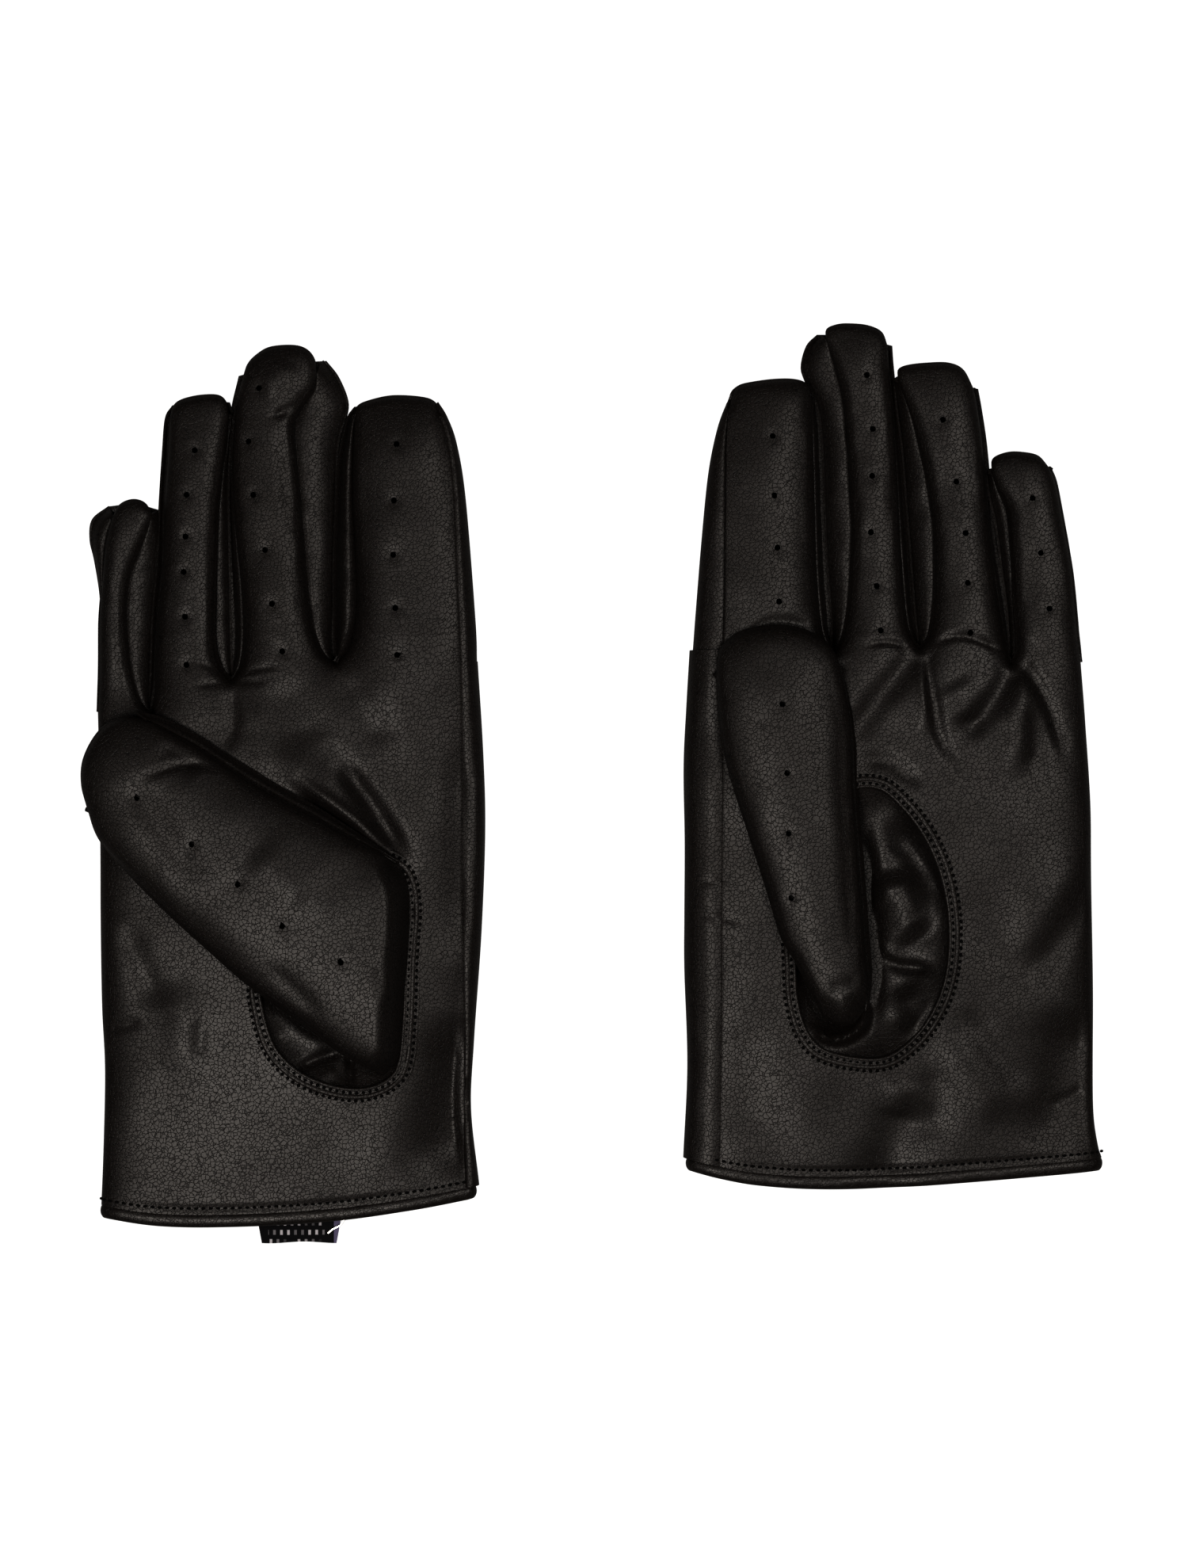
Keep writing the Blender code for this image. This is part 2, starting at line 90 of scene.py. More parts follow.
def glove_leather(name, cells=1.05, depth=0.04, roughness=0.41):
    """Embossed leather: a net of fine cracks, grain inside its cells, and slow changes of gloss."""
    made, tree, shader = finish_of(name, IOR=1.5)
    place = add(tree, "ShaderNodeTexCoord").outputs["Object"]
    warp = add(tree, "ShaderNodeTexNoise", {"Scale": 420.0, "Detail": 4.0}, {"Vector": place})
    bent = add(
        tree,
        "ShaderNodeMix",
        {"data_type": "RGBA", "blend_type": "LINEAR_LIGHT", "Factor": 0.0009},
        {6: place, 7: warp.outputs["Color"]},
    )
    scale = 1000.0 / cells
    edges = {"feature": "DISTANCE_TO_EDGE", "Scale": scale}
    crack = add(tree, "ShaderNodeTexVoronoi", edges, {"Vector": bent.outputs[2]})
    pebble = add(tree, "ShaderNodeTexVoronoi", {"Scale": scale}, {"Vector": bent.outputs[2]})
    patchy = add(tree, "ShaderNodeTexNoise", {"Scale": 45.0, "Detail": 3.0}, {"Vector": place})
    # the cracks are a few hundredths to a tenth of a millimetre wide
    width = {"From Min": 0.3, "From Max": 0.7, "To Min": 0.075, "To Max": 0.1}
    wide = add(tree, "ShaderNodeMapRange", width, {"Value": patchy.outputs["Fac"]})
    groove = add(
        tree,
        "ShaderNodeMapRange",
        {"interpolation_type": "SMOOTHSTEP"},
        {"Value": crack.outputs["Distance"], "From Max": wide.outputs["Result"]},
    )
    fine = {"Scale": 1900.0, "Detail": 2.0, "Roughness": 0.6}
    grain = add(tree, "ShaderNodeTexNoise", fine, {"Vector": place})
    dome = add(
        tree,
        "ShaderNodeMath",
        {"operation": "MULTIPLY_ADD", 1: -0.5},
        {0: pebble.outputs["Distance"], 2: groove.outputs["Result"]},
    )
    emboss = add(
        tree,
        "ShaderNodeMath",
        {"operation": "MULTIPLY_ADD", 1: 0.7},
        {0: grain.outputs["Fac"], 2: dome.outputs["Value"]},
    )
    deep = {"Strength": 1.0, "Distance": depth * MM}
    bump = add(tree, "ShaderNodeBump", deep, {"Height": emboss.outputs["Value"]})
    tone = add(tree, "ShaderNodeMix", {"data_type": "RGBA"}, {0: patchy.outputs["Fac"]})
    tone.inputs[6].default_value = linear("#171311")
    tone.inputs[7].default_value = linear("#1f1916")
    mixed = {0: groove.outputs["Result"], 7: tone.outputs[2]}
    dark = add(tree, "ShaderNodeMix", {"data_type": "RGBA"}, mixed)
    dark.inputs[6].default_value = linear("#0e0b0a")
    gloss = {"To Min": roughness - 0.04, "To Max": roughness + 0.08}
    satin = add(tree, "ShaderNodeMapRange", gloss, {"Value": patchy.outputs["Fac"]})
    ends = {"To Min": 0.28, "To Max": 0.46}
    sheen = add(tree, "ShaderNodeMapRange", ends, {"Value": groove.outputs["Result"]})
    tree.links.new(bump.outputs["Normal"], shader.inputs["Normal"])
    tree.links.new(dark.outputs[2], shader.inputs["Base Color"])
    tree.links.new(satin.outputs["Result"], shader.inputs["Roughness"])
    tree.links.new(sheen.outputs["Result"], shader.inputs["Specular IOR Level"])
    return made


LEATHER = glove_leather("embossed_glove_leather")
PALM_THICK, SIDE_THICK = 0.9, 0.7  # the fronts and the palm, and the softer sides and backs
TABLE_GAP = 0.5  # height of the leather that lies on the table

# ---------------------------------------------------------------------------------------------
# The cut of the gloves. Every leather panel is a four-sided patch between seams, and its seams
# are smooth curves through a few points. The two gloves were worn and folded differently, so
# each has its own cut. A finger's front runs from its crotch line to its tip; "left" and
# "right" are its seams, "low" and "high" the outer edges of the leather beside it.
# ---------------------------------------------------------------------------------------------

RIGHT = {
    "name": "right",
    "hem": [
        (-133.1, -113.6), (-117.0, -115.6), (-96.0, -115.7), (-70.0, -114.2), (-49.0, -111.4),
        (-34.4, -108.9),
    ],
    "hem_end": (-32.0, -108.4),
    "outside": [
        (-133.1, -113.6), (-132.5, -98), (-132.1, -77), (-132.9, -60), (-133.3, -36), (-133.4, -15),
        (-134, 19.5),
    ],
    "seam": [
        (-34.4, -108.9), (-34.5, -93), (-34.6, -67.8), (-34.9, -57.8), (-35.6, -32.7), (-35.6, -2.4),
        (-35.9, 33),
    ],
    "edge": [
        (-32.0, -108.4), (-34.2, -88), (-33.4, -68.9), (-31.4, -40), (-30.4, -12.6), (-30.9, 7.6),
        (-32.4, 33),
    ],
    "fingers": {
        "little": {
            "left": [
                (-134, 19.5), (-133.4, 30), (-133.2, 44), (-132.7, 52.3), (-131.7, 64.4), (-129.8, 72.2),
            ],
            "right": [
                (-119.6, 19.3), (-122.6, 23), (-125, 31), (-126.2, 40), (-126.4, 48.1), (-125.4, 56.3),
                (-122.9, 63), (-120.4, 69), (-119.3, 72.6),
            ],
            "tip": [(-129.8, 72.2), (-128, 75.2), (-124.6, 76.5), (-121.4, 75.6), (-119.3, 72.6)],
            "low": [
                (-134.3, 19.5), (-133.8, 30), (-133.7, 44), (-134.1, 52), (-135.4, 60.4), (-136.6, 66),
                (-136.0, 71.5), (-131.5, 75.2),
            ],
            "sides": ("narrow", "leaf"),
            "high": [
                (-120.0, 19.9), (-120.2, 30), (-119.8, 42), (-118.6, 54), (-117.6, 62), (-117.2, 69),
                (-118.0, 74),
            ],
            "holes": [],
            "hinge": 27.0,
        },
        "ring": {
            "left": [
                (-119.6, 19.3), (-118.6, 26), (-118, 35.9), (-117.2, 48.1), (-116.1, 60.4), (-115.7, 76.7),
                (-114.8, 88.9), (-114.4, 98.7),
            ],
            "right": [
                (-97.9, 28.2), (-100.8, 32), (-102.4, 39), (-102.3, 52.3), (-101.6, 72.6), (-100.5, 83.2),
                (-99.2, 93), (-98.6, 99.5),
            ],
            "tip": [
                (-114.4, 98.7), (-113.5, 101.8), (-111.1, 103.5), (-106.3, 104.6), (-101.5, 104.6),
                (-99.3, 102.8), (-98.6, 99.5),
            ],
            "low": [
                (-119.9, 20), (-119.4, 30), (-118.9, 45), (-117.6, 60), (-116.9, 76), (-116, 90),
                (-115.2, 99), (-113.2, 102.4),
            ],
            "sides": ("narrow", "deep"),
            "high": [
                (-98.2, 29), (-98.7, 36), (-99, 52), (-99.2, 65), (-99.4, 76), (-99.2, 86), (-98.7, 95),
                (-98.3, 99.5), (-99.4, 103.2),
            ],
            "holes": [
                (-107.4, 89.7), (-109.5, 77.7), (-109.8, 66.5), (-110.3, 57), (-109.9, 44.9), (-109.5, 32),
            ],
            "hinge": 36.0,
        },
        "middle": {
            "left": [
                (-97.9, 28.2), (-95.4, 32), (-94.4, 40), (-94.8, 52.3), (-96.1, 64.4), (-97.2, 76.7),
                (-97.4, 88.9), (-96.5, 101.9), (-94.8, 109.3),
            ],
            "right": [
                (-69.7, 32.7), (-73.4, 35.6), (-76.3, 44), (-78.2, 60.4), (-79.3, 76.7), (-80.5, 88.9),
                (-80.7, 97.5), (-78.4, 102.4), (-75.8, 106), (-74.8, 110.5),
            ],
            "tip": [
                (-94.8, 109.3), (-93.6, 113), (-91, 115.7), (-87.5, 117.6), (-81.8, 118.1), (-78, 117.2),
                (-75.6, 114.6), (-74.8, 110.5),
            ],
            "low": [
                (-98.0, 29), (-97.4, 40), (-97.9, 52), (-98.4, 64), (-98.7, 76), (-98.5, 88), (-97.5, 101),
                (-95.4, 110.5),
            ],
            "sides": ("narrow", "leaf"),
            "high": [
                (-70, 33.4), (-71.1, 38), (-70.7, 60), (-70.3, 80), (-69.6, 92), (-68, 98.5),
                (-67.4, 103.6), (-70, 110.2), (-73.4, 114.6),
            ],
            "holes": [
                (-90.1, 106.4), (-92.9, 92.1), (-91.6, 77.7), (-88.4, 62.9), (-86.5, 48.4), (-83.7, 35.6),
            ],
            "hinge": 40.5,
        },
        "index": {
            "left": [
                (-69.7, 32.7), (-66.2, 36.5), (-64.3, 44), (-63.9, 52), (-64.2, 60.4), (-65.1, 76.7),
                (-65, 90), (-64.6, 98.7),
            ],
            "right": [(-35.9, 33), (-36.9, 52.3), (-37.7, 76.7), (-39.3, 92), (-41.3, 99.3)],
            "tip": [
                (-64.6, 98.7), (-63.9, 101.6), (-60.6, 103.2), (-54.1, 104.5), (-45.9, 104), (-42.5, 102.4),
                (-41.3, 99.3),
            ],
            "low": [
                (-69.3, 33.6), (-69.8, 45), (-69.9, 60), (-69.3, 75), (-68.4, 88), (-66.2, 98.5),
                (-64.0, 102.0),
            ],
            "sides": ("roll", "back"),
            "high": [(-32.4, 33), (-32.8, 44), (-35.4, 76.7), (-37.7, 91.3), (-40.2, 98.6), (-42.6, 102.6)],
            "holes": [(-53, 91.2), (-53.7, 76.1), (-53.9, 61.5), (-53.3, 47.2), (-52.8, 34.6)],
            "hinge": 40.5,
        },
    },
    "oval": [
        (-92.7, -51.8), (-92.2, -60.8), (-88.7, -71.9), (-81.6, -79.5), (-71.6, -84), (-61.6, -85),
        (-53.5, -81.9), (-49.5, -75.9), (-48, -62.9), (-47.5, -47.8), (-46.6, -32.7), (-48.6, -23.5),
        (-54, -19), (-63, -17.5), (-73, -18.5), (-82.5, -24.5), (-89.5, -37),
    ],
    "thumb": {
        "base": [
            (-56.2, -78), (-52.4, -73), (-51.5, -62.9), (-49.8, -42.7), (-49.7, -28.6), (-52.4, -21.2),
        ],
        "right": [
            (-52.4, -21.2), (-58.6, -17.6), (-66.6, -13.4), (-74.6, -8.8), (-82.6, -4.6), (-90.7, -0.1),
            (-97.8, 4.5), (-104.8, 9.1), (-112.3, 13.3), (-117.8, 16.4),
        ],
        "left": [
            (-56.2, -78), (-67.6, -71.9), (-76.7, -64.9), (-86.7, -57.8), (-94.7, -51.8), (-103.7, -43.8),
            (-113.8, -34.7), (-123.9, -24.6), (-132.5, -14.6), (-135.6, -6.5),
        ],
        "tip": [
            (-135.6, -6.5), (-137.1, -0.5), (-136.7, 6), (-133.6, 12.4), (-129.4, 16.4), (-124, 17.8),
            (-117.8, 16.4),
        ],
        "rim": [
            (-53.5, -19.5), (-60.5, -14.8), (-74.0, -6.2), (-84, -0.6), (-92, 4.2), (-100, 9.2),
            (-108, 14.2), (-116, 18), (-123, 19.6),
        ],
        "holes": [(-121.6, -3.7), (-107, -16), (-94.7, -26.7), (-82.9, -37.8), (-67.3, -47.4)],
        "start": (-52.0, -48.0),
        "end": (-66.0, -47.0),
    },
    # Folds pressed into the leather: width, height, and the line that each follows
    "folds": [
        (4.5, -0.7, [(-68.5, 31), (-62, 20), (-55.3, 9)]),
        (6.0, 0.3, [(-60, 30), (-52, 18), (-46, 6)]),
        (6.0, -0.6, [(-84, 29), (-79, 20), (-73.6, 10)]),
        (0.9, -0.35, [(-99, 28.6), (-103, 31.5), (-108, 33.4)]),
        (0.9, -0.35, [(-99, 27.2), (-107, 26.5)]),
        (0.9, -0.35, [(-97, 27.4), (-88, 27.5)]),
        (0.9, -0.3, [(-97, 29), (-90, 31), (-84, 31.5)]),
        (2.2, -0.8, [(-98.4, 27), (-97, 18), (-99, 8)]),
        (4.0, 0.5, [(-93, 24), (-89, 12), (-88, 0)]),
        (2.4, -0.8, [(-119.6, 18), (-118, 10), (-117, -2)]),
        (1.2, -0.9, [(-87.8, 98.6), (-83.4, 100.0), (-79.5, 102.2), (-76, 106.5)]),
        (4.0, 0.7, [(-90, 107), (-85, 110), (-82, 114)]),
        (2.5, -0.7, [(-84, 96), (-82.5, 84), (-81.5, 70)]),
        (4.0, -0.9, [(-127, -36), (-122, -48), (-117, -62)]),
        (5.0, 0.6, [(-113, -52), (-110, -64), (-112, -80)]),
        (2.0, -0.5, [(-105.5, -62), (-106, -74)]),
        (1.6, -0.5, [(-133, -66.5), (-121, -63.5)]),
        (9.0, -1.6, [(-38, -60), (-40, -110)]),
        (8.0, 0.5, [(-100, -92), (-70, -98)]),
        (5.0, 1.4, [(-88, 10), (-76, 2), (-68, -4), (-58, -14)]),
        (1.7, 1.6, [(-80, 2), (-65.7, -8.4), (-59.6, -13.8), (-52.0, -20.6)]),
        (2.6, -2.4, [(-69, 8), (-64, 0), (-59.6, -6), (-55.2, -13), (-50, -22)]),
        (1.3, -3.0, [(-82, -1), (-66.4, -12), (-60.2, -17.2), (-50, -25)]),
        (6.0, -1.4, [(-35, 20), (-36, -10), (-36, -50)]),
        (11.0, -2.4, [(-32, -62), (-36, -85), (-39, -112)]),
    ],
    "thumb_folds": [
        (1.2, -0.55, [(-122, 0.8), (-110, 5), (-97.8, 4.6)]),
        (4.0, -0.8, [(-126, 2.4), (-114, -13), (-103.7, -28.6)]),
        (7.0, 0.9, [(-92, -18), (-74.5, -32)]),
        (1.4, -0.5, [(-57.4, -48), (-56.2, -57)]),
        (5.0, -0.7, [(-115, 13), (-104, 3)]),
        (2.2, -0.4, [(-88, -47), (-72, -62)]),
    ],
    "gusset_folds": [
        (1.3, -1.3, [(-81, -77.5), (-74, -74), (-67, -72)]),
        (1.1, -1.6, [(-65.8, -72), (-65.6, -82)]),
        (2.4, 1.0, [(-88, -60), (-78, -68), (-69, -71)]),
        (1.8, 0.8, [(-74, -80.5), (-70, -76)]),
    ],
}

LEFT = {
    "name": "left",
    "hem": [
        (33.7, -102.9), (44.0, -104.6), (59.4, -105.5), (79.4, -105.2), (99.6, -103.8), (119.7, -102.2),
        (137.1, -100.8),
    ],
    "hem_end": (25.1, -100.9),
    "outside": [
        (137.1, -100.8), (136.0, -97), (134.8, -86), (134.8, -55.9), (134.3, -25.7), (134.1, -5.6),
        (132.7, 16.5), (131.3, 33),
    ],
    "seam": [(33.7, -102.9), (34.3, -75.9), (34.3, -35.8), (34.7, 5), (34.9, 36)],
    "edge": [
        (25.1, -100.9), (26.2, -75.9), (25.4, -50), (25.4, -35.8), (25.5, -15.7), (25.2, 4.4), (25.9, 20.3),
        (26.8, 36),
    ],
    "fingers": {
        "index": {
            "left": [(34.9, 36), (35.2, 45.7), (35.4, 62.5), (35.6, 87.7), (36.2, 101.5)],
            "right": [
                (64.4, 35.9), (61.8, 39.5), (60.6, 46), (59.9, 55), (59.6, 62.5), (59.1, 87.7),
                (58.7, 103.5),
            ],
            "tip": [
                (36.2, 101.5), (36.8, 105), (38.6, 106.9), (41.4, 107.9), (48.6, 108.9), (54.5, 108.8),
                (57.8, 107.2), (58.7, 103.5),
            ],
            "low": [
                (26.8, 36), (27.5, 45.6), (29.2, 66.6), (30.9, 83.5), (33, 94.5), (35.2, 101.2),
                (38.0, 106.6),
            ],
            "sides": ("back", "narrow"),
            "high": [
                (64.2, 36.8), (63.2, 46), (62.2, 60), (61.6, 75), (61.1, 90), (60.2, 101), (59.4, 105),
            ],
            "holes": [(48, 93.4), (48.4, 77.4), (49.2, 63.4), (49.6, 48.9)],
            "hinge": 44.0,
        },
        "middle": {
            "left": [
                (64.4, 35.9), (66.9, 39.5), (68.8, 49.8), (69.7, 66.6), (69.2, 79.3), (68.4, 91.9),
                (67.1, 104.6), (64.5, 114.7), (62.6, 120),
            ],
            "right": [
                (87.6, 36.7), (85.4, 40), (83.9, 46), (82.6, 62.5), (81.8, 79.3), (80.5, 100.3),
                (79.4, 113), (79.2, 118),
            ],
            "tip": [
                (62.6, 120), (62.9, 122.4), (65.5, 123.6), (68.8, 123.9), (73.9, 123.4), (77.7, 121.6),
                (79.2, 118),
            ],
            "low": [
                (64.7, 36.9), (64.6, 46), (63.6, 60), (62.9, 75), (62.4, 90), (61.2, 101), (57.8, 109),
                (56.8, 113), (58.3, 118.5), (61.2, 121.5),
            ],
            "sides": ("leaf", "narrow"),
            "high": [
                (87.3, 37.6), (86.3, 46), (85.2, 60), (84.0, 75), (82.8, 90), (81.4, 101), (80.2, 113),
                (79.8, 118.5),
            ],
            "holes": [(73.4, 110), (75, 95.5), (74.8, 82.8), (74.5, 67.7), (76, 53.2), (77, 41.2)],
            "hinge": 44.5,
        },
        "ring": {
            "left": [
                (87.6, 36.7), (90.2, 40), (91.6, 48), (92, 58.3), (91.5, 70.9), (89.5, 83.5), (86.5, 96.2),
                (83.4, 105.4), (82, 109.5),
            ],
            "right": [
                (112.5, 32.5), (110.9, 37.5), (109.7, 44), (107.6, 58.3), (105.9, 75.1), (104.6, 91.9),
                (103.3, 101.5), (102.4, 106.5),
            ],
            "tip": [
                (82, 109.5), (82.3, 111.6), (84.8, 112.7), (89.9, 113.3), (95.8, 113.3), (99.8, 111.4),
                (102.4, 106.5),
            ],
            "low": [
                (87.9, 37.5), (87.2, 46), (86.2, 60), (85.0, 75), (83.8, 90), (82.3, 101), (81.1, 109.5),
            ],
            "sides": ("leaf", "narrow"),
            "high": [
                (112.6, 33.3), (111.6, 44), (109.8, 56), (108.2, 66), (106.9, 78), (105.6, 92),
                (104.2, 101.5), (103.2, 107),
            ],
            "holes": [(93.8, 97.9), (97.4, 81.3), (99.9, 67.4), (100.4, 54), (101.1, 40.6)],
            "hinge": 44.5,
        },
        "little": {
            "left": [
                (112.5, 32.5), (114, 37), (113.3, 49.8), (112.4, 66.6), (111.6, 74.2), (108.8, 80.2),
                (107.3, 84.6),
            ],
            "right": [
                (131.3, 33), (130.4, 40), (129.9, 45.7), (128.6, 58.3), (126.1, 72.5), (124.4, 81),
                (122.8, 85.2),
            ],
            "tip": [(107.3, 84.6), (107.9, 87.6), (111.8, 89.2), (116, 89.2), (120.1, 88.2), (122.8, 85.2)],
            "low": [(112.9, 33.3), (112.4, 45), (110.8, 58), (109.2, 70), (107.4, 78), (106.4, 85)],
            "sides": ("deep", "narrow"),
            "high": [
                (131.6, 33), (130.8, 40), (130.3, 45.7), (129, 58.3), (126.5, 72.5), (124.8, 81.4),
                (123.2, 85.5),
            ],
            "holes": [(117.9, 76.8), (120.1, 62.1), (122.4, 47.1)],
            "hinge": 40.5,
        },
    },
    "oval": [
        (78.4, 1.4), (85.5, -4.6), (91.5, -12.7), (95.6, -21.7), (98, -31.8), (98.6, -41.8), (97.6, -51.9),
        (94.6, -60.9), (89.5, -68.9), (82.4, -75), (75.4, -77), (65.4, -75.9), (58.4, -73), (53.8, -66.9),
        (51.3, -57.8), (50.8, -48.9), (50.6, -38), (52, -26), (56, -12), (62, -2.5), (70, 2),
    ],
    "thumb": {
        "base": [(61.9, -62.9), (65.4, -64.6), (69.5, -64.2), (72.6, -60.5)],
        "right": [
            (72.6, -60.5), (73.2, -54), (72.4, -45.8), (71.4, -30.8), (70.4, -15.7), (69.4, -0.5),
            (68.9, 14.5), (67.4, 24.6), (66.1, 30.4),
        ],
        "left": [
            (61.9, -62.9), (58.4, -55.9), (54.3, -47.8), (50.3, -40.8), (46.2, -27.8), (41.3, -12.7),
            (37.3, -0.5), (34.7, 9.5), (33.2, 19.5), (32.7, 29.5),
        ],
        "tip": [
            (32.7, 29.5), (33, 33.5), (34.3, 36.8), (39, 40.4), (47.3, 42.3), (55.4, 41.4), (61.3, 38.4),
            (64.7, 34.4), (66.1, 30.4),
        ],
        "rim": [
            (74.0, -59.5), (74.6, -50), (73.6, -36), (72.4, -20), (71.0, -3), (70.2, 12), (68.6, 23),
            (66.5, 30.2),
        ],
        "holes": [(50.1, 21.2), (51.4, 2.9), (51.8, -13.1), (52.6, -30.3)],
        "start": (66.0, -62.5),
        "end": (63.5, -48.5),
    },
    "folds": [
        (3.6, -1.5, [(90, 40), (83, 30.5), (76, 22.3), (68, 10)]),
        (1.9, -1.2, [(88.6, 42), (89.8, 30), (91.4, 21.3), (93.1, 12.5), (99, 3)]),
        (1.4, 0.6, [(88.2, 40), (88.2, 27), (89, 12)]),
        (5.0, 0.7, [(96, 28), (99, 22), (100, 16)]),
        (1.0, -0.7, [(90.2, 37.2), (96, 39.4), (101.4, 39.2), (111.5, 35.2)]),
        (1.0, -0.5, [(86, 36.5), (78, 38), (72, 37)]),
        (3.2, -1.5, [(116, 35), (107.2, 22), (97, 11)]),
        (3.6, 1.2, [(114.4, 36), (114.2, 20), (112.5, 0)]),
        (7.5, -2.0, [(86, -83), (81, -97), (78, -112)]),
        (8.5, -2.4, [(130, -58), (126, -78), (121, -102)]),
        (2.2, -1.6, [(110, 38), (118.4, 28), (122.8, 19.8), (127, 6)]),
        (3.0, -0.7, [(117, 22), (119, 12), (118, 2)]),
        (9.0, -1.0, [(102, -20), (108, -40), (116, -66)]),
        (7.0, 1.0, [(133, -16), (121, -34), (111, -50)]),
        (4.5, -0.9, [(135, -26), (126, -40), (116, -54)]),
        (4.5, -0.9, [(98, -58), (108, -71), (119, -84)]),
        (5.0, 0.8, [(95, -66), (103, -80), (110, -92)]),
        (4.0, -0.7, [(90, -74), (92, -86), (91, -97)]),
        (4.0, 0.6, [(83, -79), (81, -90)]),
        (1.6, -0.5, [(121.8, -86.5), (127, -85), (133.4, -81.5)]),
        (0.9, -0.35, [(24, -26.8), (30, -26.4), (36, -25.8)]),
        (0.9, -0.35, [(24, -34.6), (31, -35.4), (41, -37.4)]),
        (3.0, -0.9, [(64.4, 35), (65.5, 28), (66, 20)]),
        (7.0, -0.7, [(42, -62), (41, -97)]),
        (2.4, -0.9, [(70, 6), (79, 6), (89, -1.5)]),
        (1.2, -0.6, [(38, 38.5), (48, 43.8), (60, 42)]),
    ],
    "thumb_folds": [
        (5.0, -2.0, [(69, 28), (71, 4), (73, -50)]),
        (2.0, -0.5, [(62, -55), (71, -53)]),
    ],
    "gusset_folds": [
        (2.6, -3.5, [(72, -6), (74, -30), (75, -52), (75, -72)]),
        (4.5, -3.2, [(78, -8), (88, -20), (97, -36)]),
        (5.5, 3.6, [(80, -22), (83, -33), (88, -43)]),
        (4.5, 2.8, [(82, -54), (87, -62), (86, -71)]),
        (1.6, -1.6, [(77, -46), (82, -49), (92, -50)]),
        (1.7, 4.4, [(56, -65), (64.8, -68.4), (71.6, -65), (74.5, -58)]),
    ],
}
GLOVES = (RIGHT, LEFT)
FINGERS = ("little", "ring", "middle", "index")
RIGHT["order"], LEFT["order"] = FINGERS, FINGERS[::-1]


def smooth_step(share):
    """0 to 1 with a soft start and a soft end."""
    share = np.clip(share, 0, 1)
    return share * share * (3 - 2 * share)


def run_of(line):
    """The distance along a line at each of its points."""
    return np.concatenate([[0], np.cumsum(np.linalg.norm(np.diff(line, axis=0), axis=1))])


def trace(points, step=None, count=None):
    """A smooth curve through the points, as evenly spaced points."""
    p = np.array(points, float)
    padded = np.vstack([2 * p[0] - p[1], p, 2 * p[-1] - p[-2]])
    t = np.linspace(0, 1, 24, endpoint=False)[:, None]
    parts = []
    for a, b, c, d in zip(padded, padded[1:], padded[2:], padded[3:]):
        bend, twist = 2 * a - 5 * b + 4 * c - d, 3 * b - a - 3 * c + d
        parts.append(0.5 * (2 * b + (c - a) * t + bend * t**2 + twist * t**3))
    line = np.vstack([*parts, p[-1:]])
    run = run_of(line)
    count = count or max(3, int(round(run[-1] / step)) + 1)
    even = np.linspace(0, run[-1], count)
    return np.stack([np.interp(even, run, line[:, k]) for k in range(line.shape[1])], axis=1)


def patch(bottom, top, left, right):
    """A grid of plan points filling the space between four curves."""
    run = run_of(top)
    s = (run / run[-1])[None, :, None]
    t = np.linspace(0, 1, len(left))[:, None, None]
    flat = (1 - t) * bottom[None] + t * top[None] + (1 - s) * left[:, None] + s * right[:, None]
    corners = (1 - s) * (1 - t) * bottom[0] + s * (1 - t) * bottom[-1]
    corners = corners + (1 - s) * t * top[0] + s * t * top[-1]
    return flat - corners


def between(a, b, count):
    """A grid of plan points from one line straight across to another."""
    return a[:, None] + (b - a)[:, None] * np.linspace(0, 1, count)[None, :, None]


def reach(spots, line, closed=False):
    """The distance from each spot to a line, and how far along the line its nearest point is."""
    line = np.array(line, float)
    if closed:
        line = np.vstack([line, line[:1]])
    flat = spots.reshape(-1, 2)
    best = np.full(len(flat), 1e9)
    along = np.zeros(len(flat))
    total = len(line) - 1
    for i, (a, b) in enumerate(zip(line, line[1:])):
        ab = b - a
        t = np.clip(((flat - a) @ ab) / max(ab @ ab, 1e-9), 0, 1)
        gap = np.linalg.norm(flat - a - t[:, None] * ab, axis=1)
        near = gap < best
        best[near] = gap[near]
        along[near] = (i + t[near]) / total
    return best.reshape(spots.shape[:-1]), along.reshape(spots.shape[:-1])


FOLD_FADE = 0.3  # the share of a fold's length over which it dies away at each end


def press(spots, folds):
    """The height that a list of folds adds at each spot. Each fold fades out at its ends."""
    total = np.zeros(spots.shape[:-1])
    for width, height, line in folds:
        gap, along = reach(spots, trace(line, count=14))
        fade = smooth_step(np.minimum(along, 1 - along) / FOLD_FADE)
        total += height * np.exp(-((gap / width) ** 2)) * (0.1 + 0.9 * fade)
    return total


def rumple(spots, seed, size, height):
    """Soft random waves in the leather, from size up to three times that long."""
    dice = np.random.default_rng(seed)
    total = np.zeros(spots.shape[:-1])
    for _ in range(22):
        length = size * dice.uniform(1, 3)
        turn, start = dice.uniform(0, 2 * math.pi, 2)
        wave = (spots[..., 0] * math.cos(turn) + spots[..., 1] * math.sin(turn)) * 2 * math.pi / length
        total += np.sin(wave + start) * length
    return total * height / (size * 9)


def round_off(gap, radius):
    """0 at an edge, rising like a quarter circle to 1 at radius from it."""
    u = np.clip(gap / radius, 0, 1)
    return np.sqrt(1 - (1 - u) ** 2)


EDGE_LEVEL = (4.2, 5.7)  # height of the widest part of the hand, and of a finger's seams
SPREAD = 9.0  # how far in from an edge the leather goes on rising
SETTLING = 420  # rounds in which the stuffed skin settles
SEAM_BAND = 1.6  # beside a seam the square grid is too coarse, and the slope is carried out to it


